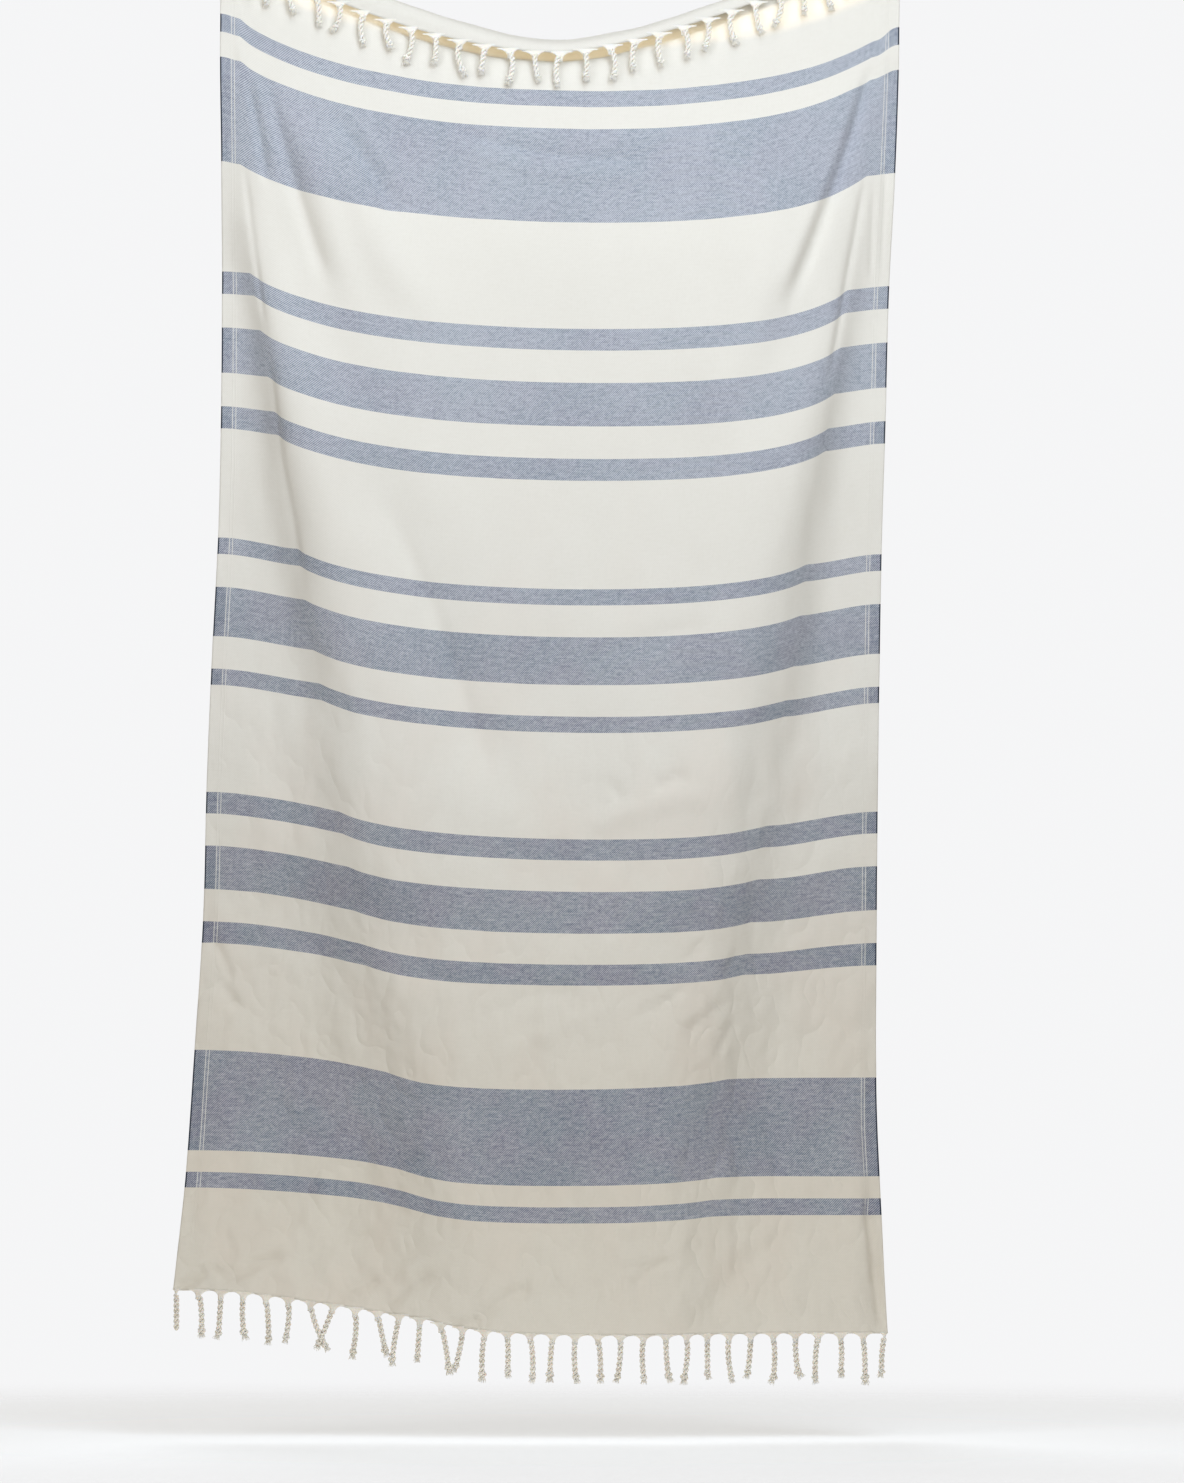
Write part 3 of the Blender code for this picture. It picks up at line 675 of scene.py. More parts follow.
def weave_material():
    """Cream twill with navy weft stripes, worked out on the cloth's flat coordinates."""
    material, shader, place = new_material("woven_cotton_cloth")
    flat = place.node("ShaderNodeUVMap", {"uv_map": "flat_cloth"}, {})
    across = flat.node("ShaderNodeSeparateXYZ", {}, {0: flat})
    along = flat.node("ShaderNodeSeparateXYZ", {}, {0: flat}, output=1)
    wander = flat.noise(9.0, 2.0) * 0.0012
    stripe = stripe_mask(along + wander * 0.5)
    to_edge = HALF_WIDTH - (across - HALF_WIDTH).math("ABSOLUTE")

    warp = across / THREAD
    weft = along / THREAD
    diagonal = ((warp + weft) / TWILL).math("FRACT")
    weft_on_top = (diagonal - 0.5).math("ABSOLUTE").between(0.20, 0.30)
    thread_warp = (warp * math.pi).math("SINE").math("ABSOLUTE")
    thread_weft = (weft * math.pi).math("SINE").math("ABSOLUTE")
    rounding = weft_on_top * thread_weft + (1 - weft_on_top) * thread_warp

    weft_slub = flat.noise(1.0, 3.0, WEFT_SLUBS) - 0.5
    warp_slub = flat.noise(1.0, 3.0, WARP_SLUBS) - 0.5
    streaks = flat.noise(1.0, 4.0, STREAKS) - 0.5
    mottle = flat.noise(1.0, 3.0, MOTTLE) - 0.5
    cloudy = flat.noise(7.0, 4.0) - 0.5
    uneven = streaks * 0.42 + mottle * 0.60 + cloudy * 0.30
    navy_share = (0.30 + weft_on_top * 0.50 + weft_slub * 0.50 + uneven).between(-0.05, 1.05)
    # painted light: the upper stripes are painted a little paler than the lower ones, as the light is
    # stronger at the top
    navy_share = navy_share - (1 - along.between(*PAINTED_LIGHT_DIES_OUT_OVER)) * UPPER_PAINTED_LIGHT
    edge_navy = 1 - to_edge.between(SELVEDGE_WIDTH * 0.5, SELVEDGE_WIDTH)
    # between the edge and the lines the warp stands closer, so the stripes are darker and ribbed
    in_selvedge = 1 - to_edge.between(LINE_DISTANCES[0] * 0.8, LINE_DISTANCES[0])
    warp_rib = in_selvedge * (warp_slub + 0.25) * 0.5
    navy_share = (navy_share + warp_rib).math("MINIMUM", 1.0)
    cream_share = 0.15 + weft_on_top * 0.45 + weft_slub * 0.5 + warp_slub * 0.5 + uneven
    cream_share = cream_share.between(0.0, 1.0)
    off_lines = [(to_edge - distance).math("ABSOLUTE") for distance in LINE_DISTANCES]
    lines = 1 - off_lines[0].math("MINIMUM", off_lines[1]).between(LINE_WIDTH * 0.5, LINE_WIDTH)
    dye = flat.noise(13.0, 3.0).between(0.35, 0.65)
    handled = flat.noise(8.0, 3.0, HANDLING).between(0.42, 0.68) * along.between(0.5, 1.2)
    warp_cream = handled.mixed(CREAM_WARP, HANDLED_CREAM)
    cream = cream_share.mixed(warp_cream, CREAM_WEFT)
    # painted shade: the cream turns darker and warmer towards the foot, where less light falls
    shaded_foot_cream = cream.node("ShaderNodeVectorMath", {"operation": "MULTIPLY"}, {0: cream, 1: PAINTED_FOOT_SHADE})
    cream = along.between(*FOOT_SHADE_OVER).mixed(cream, shaded_foot_cream)
    navy = dye.mixed(NAVY_WEFT, LILAC_WEFT)
    between_navy = along.between(*NAVY_GREYS_OVER).mixed(PALE_WARP, GREY_WARP)
    blue = navy_share.mixed(between_navy, navy)
    blue = (lines * 0.75).mixed(blue, CREAM_WARP)
    blue = edge_navy.mixed(blue, EDGE_NAVY)
    stripe.mixed(cream, blue).feed(shader, "Base Color")

    # painted light: a warm glow emitted from the cloth behind the rolled fold's opening, standing in for
    # light through the fold and its warm bounce in the shade there
    painted_glow_mask = along.between(*PAINTED_GLOW_SETS_IN) * (1 - along.between(*PAINTED_GLOW_DIES_OUT))
    painted_glow_mask.mixed((0, 0, 0), PAINTED_FOLD_GLOW).feed(shader, "Emission Color")

    # sharp-edged creases from handling, between the main ones, more of them towards the foot
    crumple = (flat.noise(1.0, 2.0, CRUMPLE) - 0.5).math("ABSOLUTE") * along.between(*CRUMPLE_SETS_IN)
    relief = rounding * THREAD_RELIEF + lines * LINE_RELIEF + weft_slub * SLUB_RELIEF
    relief = relief + crumple * CRUMPLE_RELIEF
    bump = relief.node("ShaderNodeBump", {}, {"Strength": 0.55, "Distance": 1.0, "Height": relief})
    bump.feed(shader, "Normal")
    set_inputs(shader, {"Emission Strength": 1.0, "Roughness": 0.88, "Specular IOR Level": 0.25,
                        "Sheen Weight": 0.20, "Sheen Roughness": 0.5})
    return material


cloth.data.materials.append(weave_material())
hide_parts("towel_cloth")
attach(cloth, "root")

# ================================================================ the fringes
# At each hem the warp ends run on past the weft. They are gathered in bunches, each bunch drawn
# in to a neck, twisted in two plies, knotted and trimmed, which leaves a short tuft.
ROOT_MARGIN = 0.0045         # from a side edge to the middle of the first bunch
NECK_DROP = 0.0095           # from the hem to the neck of a bunch
NECK_HALF_WIDTH = 0.0033
EDGE_ROOT_SHARE = 0.33       # the bunches at the side edges are this share as wide as the others
NECK_HALF_DEPTH = 0.0024
PLY_RADIUS = 0.00190
PLY_OFFSET = 0.00215         # from the cord's middle to a ply's
TWIST_PITCH = 0.0140
CORD_POINTS = 46
PATH_SHARES = 24             # points on a strand's own path, before it is resampled
LENGTH_WAVE = 3.3            # radians from strand to strand, out of step with the waves below
LEAN_WAVE = 2.1
CURL_WAVE = 1.7
LEAN_POWER = 1.4             # it leans more and more towards its end
HANG_RATE = 4                # it hangs plumb from a quarter of its length on
CROSSED_LEAN = 1.9           # a strand that crosses the next leans this many times as far
CROSSED_GAP = 0.0035         # and lies this far in front of it
CORD_START = 0.14            # share of its length at which the twist leaves the gathered root
CORD_END = 0.985
END_SHARE = 0.001            # a point this near either end of a strand counts as its end
PLY_SIDES = 7

# A strand's length and lean vary from one to the next. Each strand of pairs leans to the next one,
# so that their ends meet or cross. forward is how far the ends hang out in front of their roots,
# and curl how far a strand bows sideways. An unknotted strand has lost its knot and hangs loose.
Fringe = namedtuple("Fringe", "count length length_spread sway forward curl "
                              "pairs crossed pair_lean unknotted")
TOP_FRINGE = Fringe(29, 0.036, 0.004, 0.005, 0.013, 0.004, (), (), 0.0, ())
BOTTOM_FRINGE = Fringe(33, 0.054, 0.004, 0.004, 0.000, 0.002, (9, 12), (6,), 0.010, (0,))

KNOT_RADIUS = 0.00140        # scale of the knot's turns: they reach 3 times as far
KNOT_YARN = 0.00165
KNOT_STRETCH = 1.35
TUFT_LENGTH = 0.0095
TUFT_SPREAD = 0.0056
TUFT_YARNS = 18
TUFT_YARN_RADIUS = 0.00042
TUFT_START = 0.0008          # from the knot's middle to where its yarns part
TUFT_TAPER = (1.5, 1.3, 1.1, 0.8)    # a trimmed yarn's thickness down its length
GOLDEN_TURN = 2.4            # radians from one yarn to the next, so that they fill the tuft evenly
KNOT_TURNS = 40              # points round the knot
KNOT_TILT = 0.35             # radians, at most
KNOT_SIDE_TILT = -0.6        # share of that tilt which goes the other way
KNOT_SIZE_SPREAD = 0.12

# The gathered root: distances down from the hem, and half the thickness of the cloth's own edge.
ROOT_DROPS = (-0.0016, 0.0, 0.0008, 0.0020, 0.0036, 0.0055, 0.0075, NECK_DROP, NECK_DROP + 0.003)
ROOT_CORNERS = 28
HEM_HALF_DEPTH = 0.00085
ROOT_YARNS = 6               # furrows round the neck
ROOT_FURROW = 0.16


def sweep_tube(bm, points, radii, sides, closed=False):
    """Add a tube of the given radii along a path."""
    rings = []
    count = len(points)
    side = None
    for number, point in enumerate(points):
        before = points[number - 1] if closed or number else point
        after = points[(number + 1) % count] if closed or number < count - 1 else point
        tangent = (after - before).normalized()
        if side is None:
            side = tangent.orthogonal().normalized()
        side = (side - tangent * side.dot(tangent)).normalized()
        other = tangent.cross(side)
        ring = []
        for corner in range(sides):
            angle = 2 * math.pi * corner / sides
            outward = math.cos(angle) * side + math.sin(angle) * other
            ring.append(bm.verts.new(point + radii[number] * outward))
        rings.append(ring)
    pairs = list(zip(rings, rings[1:]))
    if closed:
        pairs.append((rings[-1], turned_to(rings[0], rings[-1])))
    join_rings(bm, pairs)
    if not closed:
        bm.faces.new(rings[0][::-1])
        bm.faces.new(rings[-1])


def join_rings(bm, pairs):
    """Faces from each ring of corners to the one that follows it."""
    for ring, following in pairs:
        for corner in range(len(ring)):
            onward = (corner + 1) % len(ring)
            bm.faces.new((ring[corner], ring[onward], following[onward], following[corner]))


def turned_to(ring, neighbour):
    """The same ring, started at the corner nearest the neighbour's first, so that a loop closes untwisted."""
    nearest = min(range(len(ring)), key=lambda corner: (ring[corner].co - neighbour[0].co).length)
    return ring[nearest:] + ring[:nearest]


def mesh_object(name, bm):
    """A finished mesh as an object that is kept out of the scene, to be instanced."""
    bmesh.ops.recalc_face_normals(bm, faces=bm.faces)
    mesh = bpy.data.meshes.new(name)
    bm.to_mesh(mesh)
    bm.free()
    mesh.shade_smooth()
    return bpy.data.objects.new(name, mesh)


def knot_and_tuft():
    """The overhand knot that ends a strand, and the trimmed yarns below it. Down is -Z."""
    bm = bmesh.new()
    turns = []
    for number in range(KNOT_TURNS):
        t = 2 * math.pi * number / KNOT_TURNS
        reach = 2 + math.cos(3 * t)
        point = Vector((reach * math.cos(2 * t), reach * math.sin(2 * t), KNOT_STRETCH * math.sin(3 * t)))
        turns.append(point * KNOT_RADIUS)
    sweep_tube(bm, turns, [KNOT_YARN] * len(turns), 6, closed=True)
    for number in range(TUFT_YARNS):
        turn = GOLDEN_TURN * number
        share = math.sqrt((number + 0.5) / TUFT_YARNS)
        way = Vector((math.cos(turn), math.sin(turn), 0))
        length = TUFT_LENGTH * (0.86 + 0.14 * math.sin(5.1 * number))
        path = []
        for step in range(len(TUFT_TAPER)):
            t = step / (len(TUFT_TAPER) - 1)
            spread = (TUFT_START + (TUFT_SPREAD - TUFT_START) * t ** 0.7) * share
            path.append(way * spread + Vector((0, 0, -length * t - TUFT_START)))
        sweep_tube(bm, path, [TUFT_YARN_RADIUS * taper for taper in TUFT_TAPER], 4)
    return mesh_object("knot_and_tuft", bm)


def gathered_root(half_pitch):
    """The warp ends of one bunch, drawn in from the hem to the neck. Across is X, down is -Z."""
    rings = []
    bm = bmesh.new()
    for drop in ROOT_DROPS:
        share = min(max(drop / NECK_DROP, 0), 1)
        draw = 1 - math.sqrt(1 - (1 - share) ** 2)
        width = NECK_HALF_WIDTH + (half_pitch - NECK_HALF_WIDTH) * draw
        depth = HEM_HALF_DEPTH + (NECK_HALF_DEPTH - HEM_HALF_DEPTH) * share ** 1.2
        ring = []
        for corner in range(ROOT_CORNERS):
            angle = 2 * math.pi * corner / ROOT_CORNERS
            yarn = 1 + ROOT_FURROW * share ** 0.3 * math.cos(ROOT_YARNS * angle)
            ring.append(bm.verts.new((width * math.cos(angle), depth * yarn * math.sin(angle), -drop)))
        rings.append(ring)
    join_rings(bm, zip(rings, rings[1:]))
    bm.faces.new(rings[0])
    bm.faces.new(rings[-1])
    return mesh_object("gathered_root", bm)


def strand_path(fringe, index, root, sideways, front, down):
    """Points down one strand, from the hem to its knot."""
    lean = fringe.sway * math.sin(LEAN_WAVE * index)
    meet = {**{pair: 1.0 for pair in fringe.pairs}, **{pair: CROSSED_LEAN for pair in fringe.crossed}}
    if index in meet:
        lean = fringe.pair_lean * meet[index]
    if index - 1 in meet:
        lean = -fringe.pair_lean * meet[index - 1]
    bow = fringe.curl * math.sin(CURL_WAVE * index)
    length = fringe.length + fringe.length_spread * math.sin(LENGTH_WAVE * index)
    across_each_other = CROSSED_GAP if index in fringe.crossed else 0.0
    points = []
    for number in range(PATH_SHARES):
        share = number / (PATH_SHARES - 1)
        hang = smooth_step(share * HANG_RATE)
        drop = length * share
        below = (Vector((0, 0, -1)) * hang + down * (1 - hang)) * drop
        beside = lean * share ** LEAN_POWER + bow * math.sin(math.pi * share)
        ahead = (fringe.forward + across_each_other) * math.sin(0.5 * math.pi * share)
        points.append(root + below + sideways * beside + front * ahead)
    return points


def fringe_paths(name, fringe, hem, inner):
    """The strands' paths as loose edges, with the hem's own directions stored at every point."""
    roots = np.linspace(ROOT_MARGIN - HALF_WIDTH, HALF_WIDTH - ROOT_MARGIN, fringe.count)
    pitch = roots[1] - roots[0]
    points, edges, sides, downs, tips, shares, widths = [], [], [], [], [], [], []
    for index, root in enumerate(roots):
        spots = [hem_point(hem, root + shift) for shift in (-pitch / 2, 0, pitch / 2)]
        sideways = (spots[2] - spots[0]).normalized()
        down = (spots[1] - hem_point(inner, root)).normalized()
        front = sideways.cross(down).normalized()
        if front.y > 0:
            front = -front
        level = Vector((sideways.x, sideways.y, 0)).normalized()
        outward = Vector((level.y, -level.x, 0))
        path = strand_path(fringe, index, spots[1], level, outward, down)
        first = len(points)
        points += path
        edges += [(first + number, first + number + 1) for number in range(len(path) - 1)]
        sides += [sideways] * len(path)
        downs += [down] * len(path)
        tips += [(path[-1] - path[-3]).normalized()] * len(path)
        # the knot goes where the share is 1, so an unknotted strand stops just short of it
        tip_share = 1 - 10 * END_SHARE if index in fringe.unknotted else 1.0
        shares += [tip_share * number / (len(path) - 1) for number in range(len(path))]
        at_edge = index in (0, fringe.count - 1)
        widths += [(EDGE_ROOT_SHARE if at_edge else 1.0, 1.0, 1.0)] * len(path)
    mesh = bpy.data.meshes.new(name)
    mesh.from_pydata(points, edges, [])
    vectors = {"hem_side": sides, "hem_down": downs, "tip_down": tips, "root_width": widths}
    for label, values in vectors.items():
        layer = mesh.attributes.new(label, "FLOAT_VECTOR", "POINT")
        layer.data.foreach_set("vector", np.array(values, dtype=np.float32).ravel())
    mesh.attributes.new("share", "FLOAT", "POINT").data.foreach_set("value", shares)
    return bpy.data.objects.new(name, mesh)


def hem_point(row, across):
    """A point on one row of the sheet."""
    return Vector([float(np.interp(across, columns, row[:, axis])) for axis in range(3)])


class Growth:
    """A Geometry Nodes tree under construction."""

    def __init__(self, name):
        self.tree = bpy.data.node_groups.new(name, "GeometryNodeTree")
        self.names = {}

    def add_input(self, name, kind):
        """Add a named input to the tree."""
        item = self.tree.interface.new_socket(name, in_out="INPUT", socket_type=kind)
        self.names[name] = item.identifier

    def node(self, kind, settings, values, output=0):
        return add_node(self.tree, kind, settings, values, output)

    def math(self, operation, first, second):
        return self.node("ShaderNodeMath", {"operation": operation}, {0: first, 1: second})

    def vector(self, operation, first, second):
        return self.node("ShaderNodeVectorMath", {"operation": operation}, {0: first, 1: second})

    def scaled(self, vector, factor):
        return self.node("ShaderNodeVectorMath", {"operation": "SCALE"}, {0: vector, 3: factor})

    def attribute(self, name, kind="FLOAT_VECTOR"):
        return self.node("GeometryNodeInputNamedAttribute", {"data_type": kind}, {"Name": name})

    def compare(self, operation, first, second):
        settings = {"data_type": "FLOAT", "operation": operation}
        return self.node("FunctionNodeCompare", settings, {0: first, 1: second})

    def random(self, low, high, seed):
        """A number of its own for each strand."""
        ends = {2: low, 3: high, "Seed": seed}
        return self.node("FunctionNodeRandomValue", {"data_type": "FLOAT"}, ends, output=1)

    def turned(self, up, side):
        """The turn that points a piece's Z along up and its X along side."""
        axes = {"primary_axis": "Z", "secondary_axis": "X"}
        return self.node("FunctionNodeAxesToRotation", axes, {"Primary Axis": up, "Secondary Axis": side})

    def placed(self, points, where, piece, turn, scale):
        """A copy of a piece at each chosen point."""
        copy = self.node("GeometryNodeObjectInfo", {}, {"Object": piece, "As Instance": True}, output=4)
        return self.node("GeometryNodeInstanceOnPoints", {}, {
            "Points": points, "Selection": where, "Instance": copy, "Rotation": turn, "Scale": scale})


def grow_ply(growth, curve, inputs, phase):
    """One ply of every strand: the path wound round itself, then given a round section."""
    length = growth.node("GeometryNodeSplineParameter", {}, {}, output=1)
    turns = growth.math("DIVIDE", length, inputs["Twist pitch"])
    angle = growth.math("ADD", growth.math("MULTIPLY", turns, 2 * math.pi), phase)
    normal = growth.node("GeometryNodeInputNormal", {}, {})
    tangent = growth.node("GeometryNodeInputTangent", {}, {})
    other = growth.vector("CROSS_PRODUCT", tangent, normal)
    cosine = growth.math("MULTIPLY", growth.math("COSINE", angle, 0), inputs["Ply offset"])
    sine = growth.math("MULTIPLY", growth.math("SINE", angle, 0), inputs["Ply offset"])
    offset = growth.vector("ADD", growth.scaled(normal, cosine), growth.scaled(other, sine))
    wound = growth.node("GeometryNodeSetPosition", {}, {"Geometry": curve, "Offset": offset})
    round_ply = {"Resolution": PLY_SIDES, "Radius": inputs["Ply radius"]}
    section = growth.node("GeometryNodeCurvePrimitiveCircle", {}, round_ply)
    ends = {"Curve": wound, "Profile Curve": section, "Fill Caps": True}
    tube = growth.node("GeometryNodeCurveToMesh", {}, ends)
    return growth.node("GeometryNodeSetShadeSmooth", {}, {"Geometry": tube})


def fringe_tree():
    """Strands of two plies along loose edges, a gathered root at each start and a knot at each end."""
    growth = Growth("knotted_fringe")
    wanted = {
        "NodeSocketGeometry": ("Geometry",),
        "NodeSocketFloat": ("Ply radius", "Ply offset", "Twist pitch"),
        "NodeSocketInt": ("Cord points", "Seed"),
        "NodeSocketObject": ("Knot", "Root"),
        "NodeSocketMaterial": ("Material",),
    }
    for kind, names in wanted.items():
        for name in names:
            growth.add_input(name, kind)
    growth.tree.interface.new_socket("Geometry", in_out="OUTPUT", socket_type="NodeSocketGeometry")
    entry = growth.tree.nodes.new("NodeGroupInput")
    inputs = {socket.name: socket for socket in entry.outputs if socket.name}

    path = growth.node("GeometryNodeMeshToCurve", {}, {"Mesh": inputs["Geometry"]})
    stretch = {"Curve": path, "Start": CORD_START, "End": CORD_END}
    below_neck = growth.node("GeometryNodeTrimCurve", {"mode": "FACTOR"}, stretch)
    spaced = {"Curve": below_neck, "Count": inputs["Cord points"]}
    strand = growth.node("GeometryNodeResampleCurve", {}, spaced)
    plies = [grow_ply(growth, strand, inputs, phase) for phase in (0.0, math.pi)]

    share = growth.attribute("share", "FLOAT")
    at_root = growth.compare("LESS_THAN", share, END_SHARE)
    at_tip = growth.compare("GREATER_THAN", share, 1 - END_SHARE)
    side = growth.attribute("hem_side")
    root_turn = growth.turned(growth.scaled(growth.attribute("hem_down"), -1.0), side)
    root_width = growth.attribute("root_width")
    roots = growth.placed(inputs["Geometry"], at_root, inputs["Root"], root_turn, root_width)

    # no two knots sit alike: each is spun, tilted and sized a little differently
    tip_turn = growth.turned(growth.scaled(growth.attribute("tip_down"), -1.0), side)
    spin = growth.random(0.0, 2 * math.pi, inputs["Seed"])
    tilt = growth.random(-KNOT_TILT, KNOT_TILT, growth.math("ADD", inputs["Seed"], 1))
    side_tilt = growth.math("MULTIPLY", tilt, KNOT_SIDE_TILT)
    tilts = growth.node("ShaderNodeCombineXYZ", {}, {0: tilt, 1: side_tilt, 2: spin})
    own_turn = growth.node("FunctionNodeEulerToRotation", {}, {0: tilts})
    knot_turn = growth.node("FunctionNodeRotateRotation", {"rotation_space": "LOCAL"},
                            {"Rotation": tip_turn, "Rotate By": own_turn})
    size = growth.random(1 - KNOT_SIZE_SPREAD, 1 + KNOT_SIZE_SPREAD, growth.math("ADD", inputs["Seed"], 2))
    knot_size = growth.node("ShaderNodeCombineXYZ", {}, {0: size, 1: size, 2: size})
    knots = growth.placed(inputs["Geometry"], at_tip, inputs["Knot"], knot_turn, knot_size)

    joined = growth.tree.nodes.new("GeometryNodeJoinGeometry")
    for piece in (*plies, roots, knots):
        growth.tree.links.new(piece, joined.inputs[0])
    real = growth.node("GeometryNodeRealizeInstances", {}, {0: joined.outputs[0]})
    finished = growth.node("GeometryNodeSetMaterial", {}, {"Geometry": real, "Material": inputs["Material"]})
    leave = growth.tree.nodes.new("NodeGroupOutput")
    growth.tree.links.new(finished, leave.inputs[0])
    return growth


CORD_SHADE_HEIGHTS = (-1.60, -0.40)    # heights between which the strands go from their painted shade at the foot to their lit cream
# the strands' painted shade at the foot, then their lit colours higher up
SHADED_FOOT_HOLLOW = (0.740, 0.690, 0.600)
SHADED_FOOT_CROWN = (0.900, 0.860, 0.780)
LIT_TOP_HOLLOW = (0.925, 0.895, 0.815)
LIT_TOP_CROWN = (0.985, 0.965, 0.905)


def cord_material():
    """Undyed two-ply cotton: cream, matt, with a fine nap. The strands low down at the foot are painted
    greyer: painted shade, for the dimmer light there.
    """
    material, shader, place = new_material("cotton_cord_yarn")
    fibres = place.noise(900.0, 3.0)
    cloudy = place.noise(60.0, 2.0)
    shade = (fibres * 0.5 + cloudy * 0.5).between(0.30, 0.70)
    height = place.node("ShaderNodeSeparateXYZ", {}, {0: place}, output=2)
    # painted shade: low down the strands are painted greyer, high up they keep their lit cream
    cord_light_share = height.between(*CORD_SHADE_HEIGHTS)
    hollow = cord_light_share.mixed(SHADED_FOOT_HOLLOW, LIT_TOP_HOLLOW)
    crown = cord_light_share.mixed(SHADED_FOOT_CROWN, LIT_TOP_CROWN)
    shade.mixed(hollow, crown).feed(shader, "Base Color")
    bump = fibres.node("ShaderNodeBump", {}, {"Strength": 0.6, "Distance": 0.0004, "Height": fibres})
    bump.feed(shader, "Normal")
    set_inputs(shader, {"Roughness": 0.90, "Specular IOR Level": 0.20, "Sheen Weight": 0.30,
                        "Subsurface Weight": 0.4, "Subsurface Radius": (1.0, 0.8, 0.6),
                        "Subsurface Scale": 0.0020})
    return material


fringe_growth = fringe_tree()
fringe_cord = cord_material()
strand_end = knot_and_tuft()


def grow_fringe(name, node, fringe, hem, inner, seed):
    """Run the tree on one hem's paths, and keep the result as a plain mesh."""
    half_pitch = (CLOTH_WIDTH - 2 * ROOT_MARGIN) / (fringe.count - 1) / 2
    paths = fringe_paths(name + "_paths", fringe, hem, inner)
    bpy.context.scene.collection.objects.link(paths)
    modifier = paths.modifiers.new("fringe", "NODES")
    modifier.node_group = fringe_growth.tree
    sizes = {
        "Ply radius": PLY_RADIUS,
        "Ply offset": PLY_OFFSET,
        "Twist pitch": TWIST_PITCH,
        "Cord points": CORD_POINTS,
        "Seed": seed,
        "Knot": strand_end,
        "Root": gathered_root(half_pitch),
        "Material": fringe_cord,
    }
    for label, value in sizes.items():
        modifier[fringe_growth.names[label]] = value
    bpy.context.view_layer.update()
    grown = paths.evaluated_get(bpy.context.evaluated_depsgraph_get())
    mesh = bpy.data.meshes.new_from_object(grown)
    mesh.name = name
    bpy.data.objects.remove(paths, do_unlink=True)
    piece = bpy.data.objects.new(name, mesh)
    bpy.context.scene.collection.objects.link(piece)
    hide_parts(node)
    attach(piece, "root")
    return piece


top_fringe = grow_fringe("top_fringe_cords", "fringe_top", TOP_FRINGE, sheet_grid[0], sheet_grid[1], 3)
foot_fringe = grow_fringe("foot_fringe_cords", "fringe_bottom", BOTTOM_FRINGE,
                          sheet_grid[-1], sheet_grid[-2], 11)

# ================================================================ the studio
# A pale floor that fades out into a white surround. A bluish key light from the upper right, a
# broad softbox from the right, a weaker fill from the left, one behind the towel and one for the
# floor. The camera looks level at the towel's middle from far away.
FLOOR_HEIGHT = -1.848
FLOOR_RADIUS = 7.0
FLOOR_FADES_OVER = (0.35, 2.3)       # distances from the middle
FRAME_HEIGHT_PX = 1483
PIXELS_PER_METRE = 758
VIEW_MIDDLE = (0.042, -0.927)        # x and z at the middle of the picture
CAMERA_DISTANCE = 24.0
TOWEL_DEPTH = -0.045                 # mean place of the cloth along Y
SENSOR = 36.0

floor_mesh = bpy.data.meshes.new("studio_floor")
floor_bm = bmesh.new()
bmesh.ops.create_circle(floor_bm, cap_ends=True, segments=96, radius=FLOOR_RADIUS,
                        matrix=Matrix.Translation((0, 0, FLOOR_HEIGHT)))
floor_bm.to_mesh(floor_mesh)
floor_bm.free()
studio_floor = bpy.data.objects.new("studio_floor", floor_mesh)
bpy.context.scene.collection.objects.link(studio_floor)
floor_material, floor_shader, floor_place = new_material("pale_floor")
flattened = {0: floor_place, 1: (1, 1, 0)}
from_middle = floor_place.node("ShaderNodeVectorMath", {"operation": "MULTIPLY"}, flattened)
reach = from_middle.node("ShaderNodeVectorMath", {"operation": "LENGTH"}, {0: from_middle}, output=1)
(1 - reach.between(*FLOOR_FADES_OVER)).feed(floor_shader, "Alpha")
set_inputs(floor_shader, {"Base Color": (0.88, 0.91, 0.94, 1), "Emission Color": (1, 1, 1, 1),
                          "Emission Strength": 0.30, "Roughness": 0.9, "Specular IOR Level": 0.1})
floor_mesh.materials.append(floor_material)

world = bpy.data.worlds.new("white_surround")
bpy.context.scene.world = world
world.use_nodes = True
surround = world.node_tree
for old in list(surround.nodes):
    surround.nodes.remove(old)
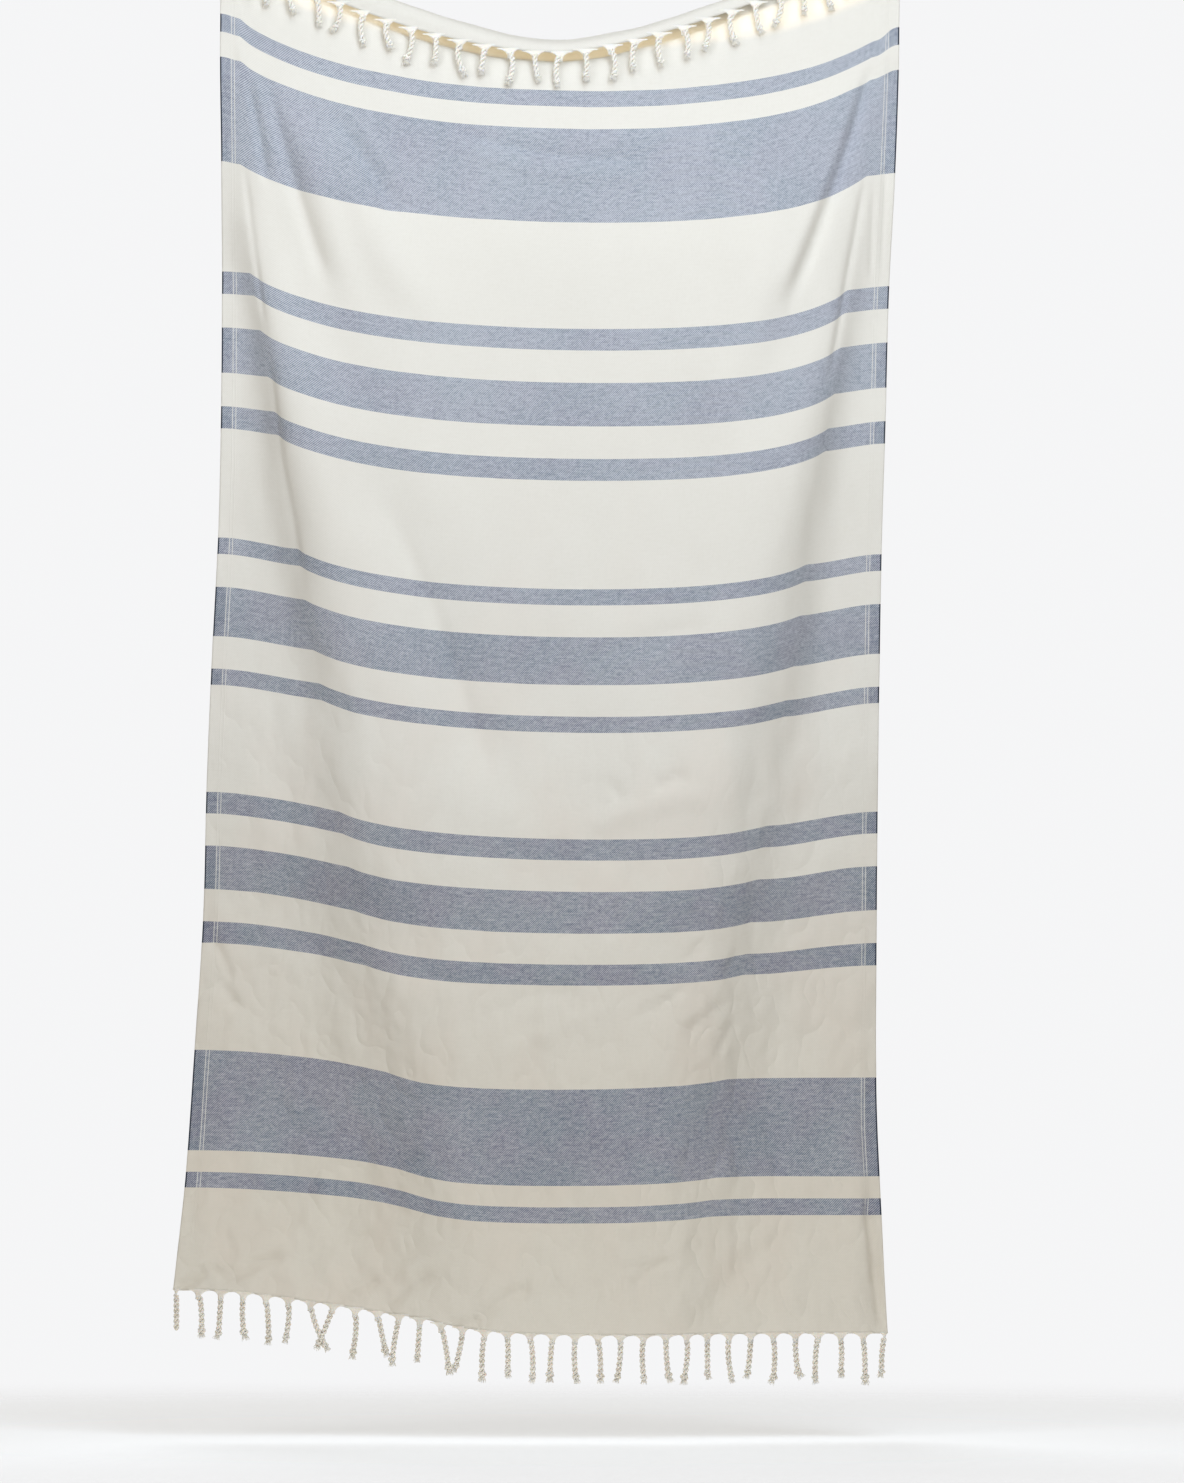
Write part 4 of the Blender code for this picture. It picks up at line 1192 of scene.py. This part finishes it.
# what the camera sees of the surround is brighter than what it sheds on the cloth
seen = surround.nodes.new("ShaderNodeBackground")
seen.inputs["Color"].default_value = (0.915, 0.917, 0.925, 1)
shed = surround.nodes.new("ShaderNodeBackground")
shed.inputs["Color"].default_value = (1.0, 0.87, 0.69, 1)
shed.inputs["Strength"].default_value = 0.26
ray = surround.nodes.new("ShaderNodeLightPath")
choice = surround.nodes.new("ShaderNodeMixShader")
out = surround.nodes.new("ShaderNodeOutputWorld")
surround.links.new(ray.outputs["Is Camera Ray"], choice.inputs["Fac"])
surround.links.new(shed.outputs[0], choice.inputs[1])
surround.links.new(seen.outputs[0], choice.inputs[2])
surround.links.new(choice.outputs[0], out.inputs["Surface"])

Lamp = namedtuple("Lamp", "name place target size spread power colour")    # spread in degrees
LAMPS = (
    Lamp("key", (0.80, -2.5, 1.7), (-0.1, 0.0, -0.2), 1.5, 120, 8.1, (0.62, 0.81, 1.0)),
    Lamp("softbox", (0.7, -2.4, 0.5), (0.0, 0.0, -0.3), 2.0, 120, 15.0, (0.92, 0.95, 1.0)),
    Lamp("fill", (-1.4, -2.4, 0.6), (-0.2, 0.0, -0.2), 1.6, 120, 9.5, (0.92, 0.95, 1.0)),
    Lamp("back_light", (-0.5, 2.6, 0.6), (0.0, 0.0, -0.5), 1.8, 90, 14.0, (0.90, 0.94, 1.0)),
    Lamp("floor_light", (0.2, -1.3, 2.5), (0.2, 0.4, -1.85), 2.2, 70, 3.0, (1.0, 1.0, 1.0)),
)
for lamp in LAMPS:
    light = bpy.data.lights.new(lamp.name, "AREA")
    light.shape = "DISK"
    light.size = lamp.size
    light.spread = math.radians(lamp.spread)
    light.energy = lamp.power
    light.color = lamp.colour
    lamp_object = bpy.data.objects.new(lamp.name, light)
    aim = Vector(lamp.target) - Vector(lamp.place)
    turn = aim.to_track_quat("-Z", "Y").to_matrix().to_4x4()
    lamp_object.matrix_world = Matrix.Translation(lamp.place) @ turn
    bpy.context.scene.collection.objects.link(lamp_object)

lens = bpy.data.cameras.new("camera")
lens.sensor_fit = "VERTICAL"
lens.sensor_height = SENSOR
frame_height = FRAME_HEIGHT_PX / PIXELS_PER_METRE
lens.lens = SENSOR * (CAMERA_DISTANCE + TOWEL_DEPTH) / frame_height
camera = bpy.data.objects.new("camera", lens)
camera.matrix_world = (Matrix.Translation((VIEW_MIDDLE[0], -CAMERA_DISTANCE, VIEW_MIDDLE[1]))
                       @ Matrix.Rotation(math.pi / 2, 4, "X"))
bpy.context.scene.collection.objects.link(camera)
bpy.context.scene.camera = camera
bpy.context.scene.view_settings.view_transform = "Standard"
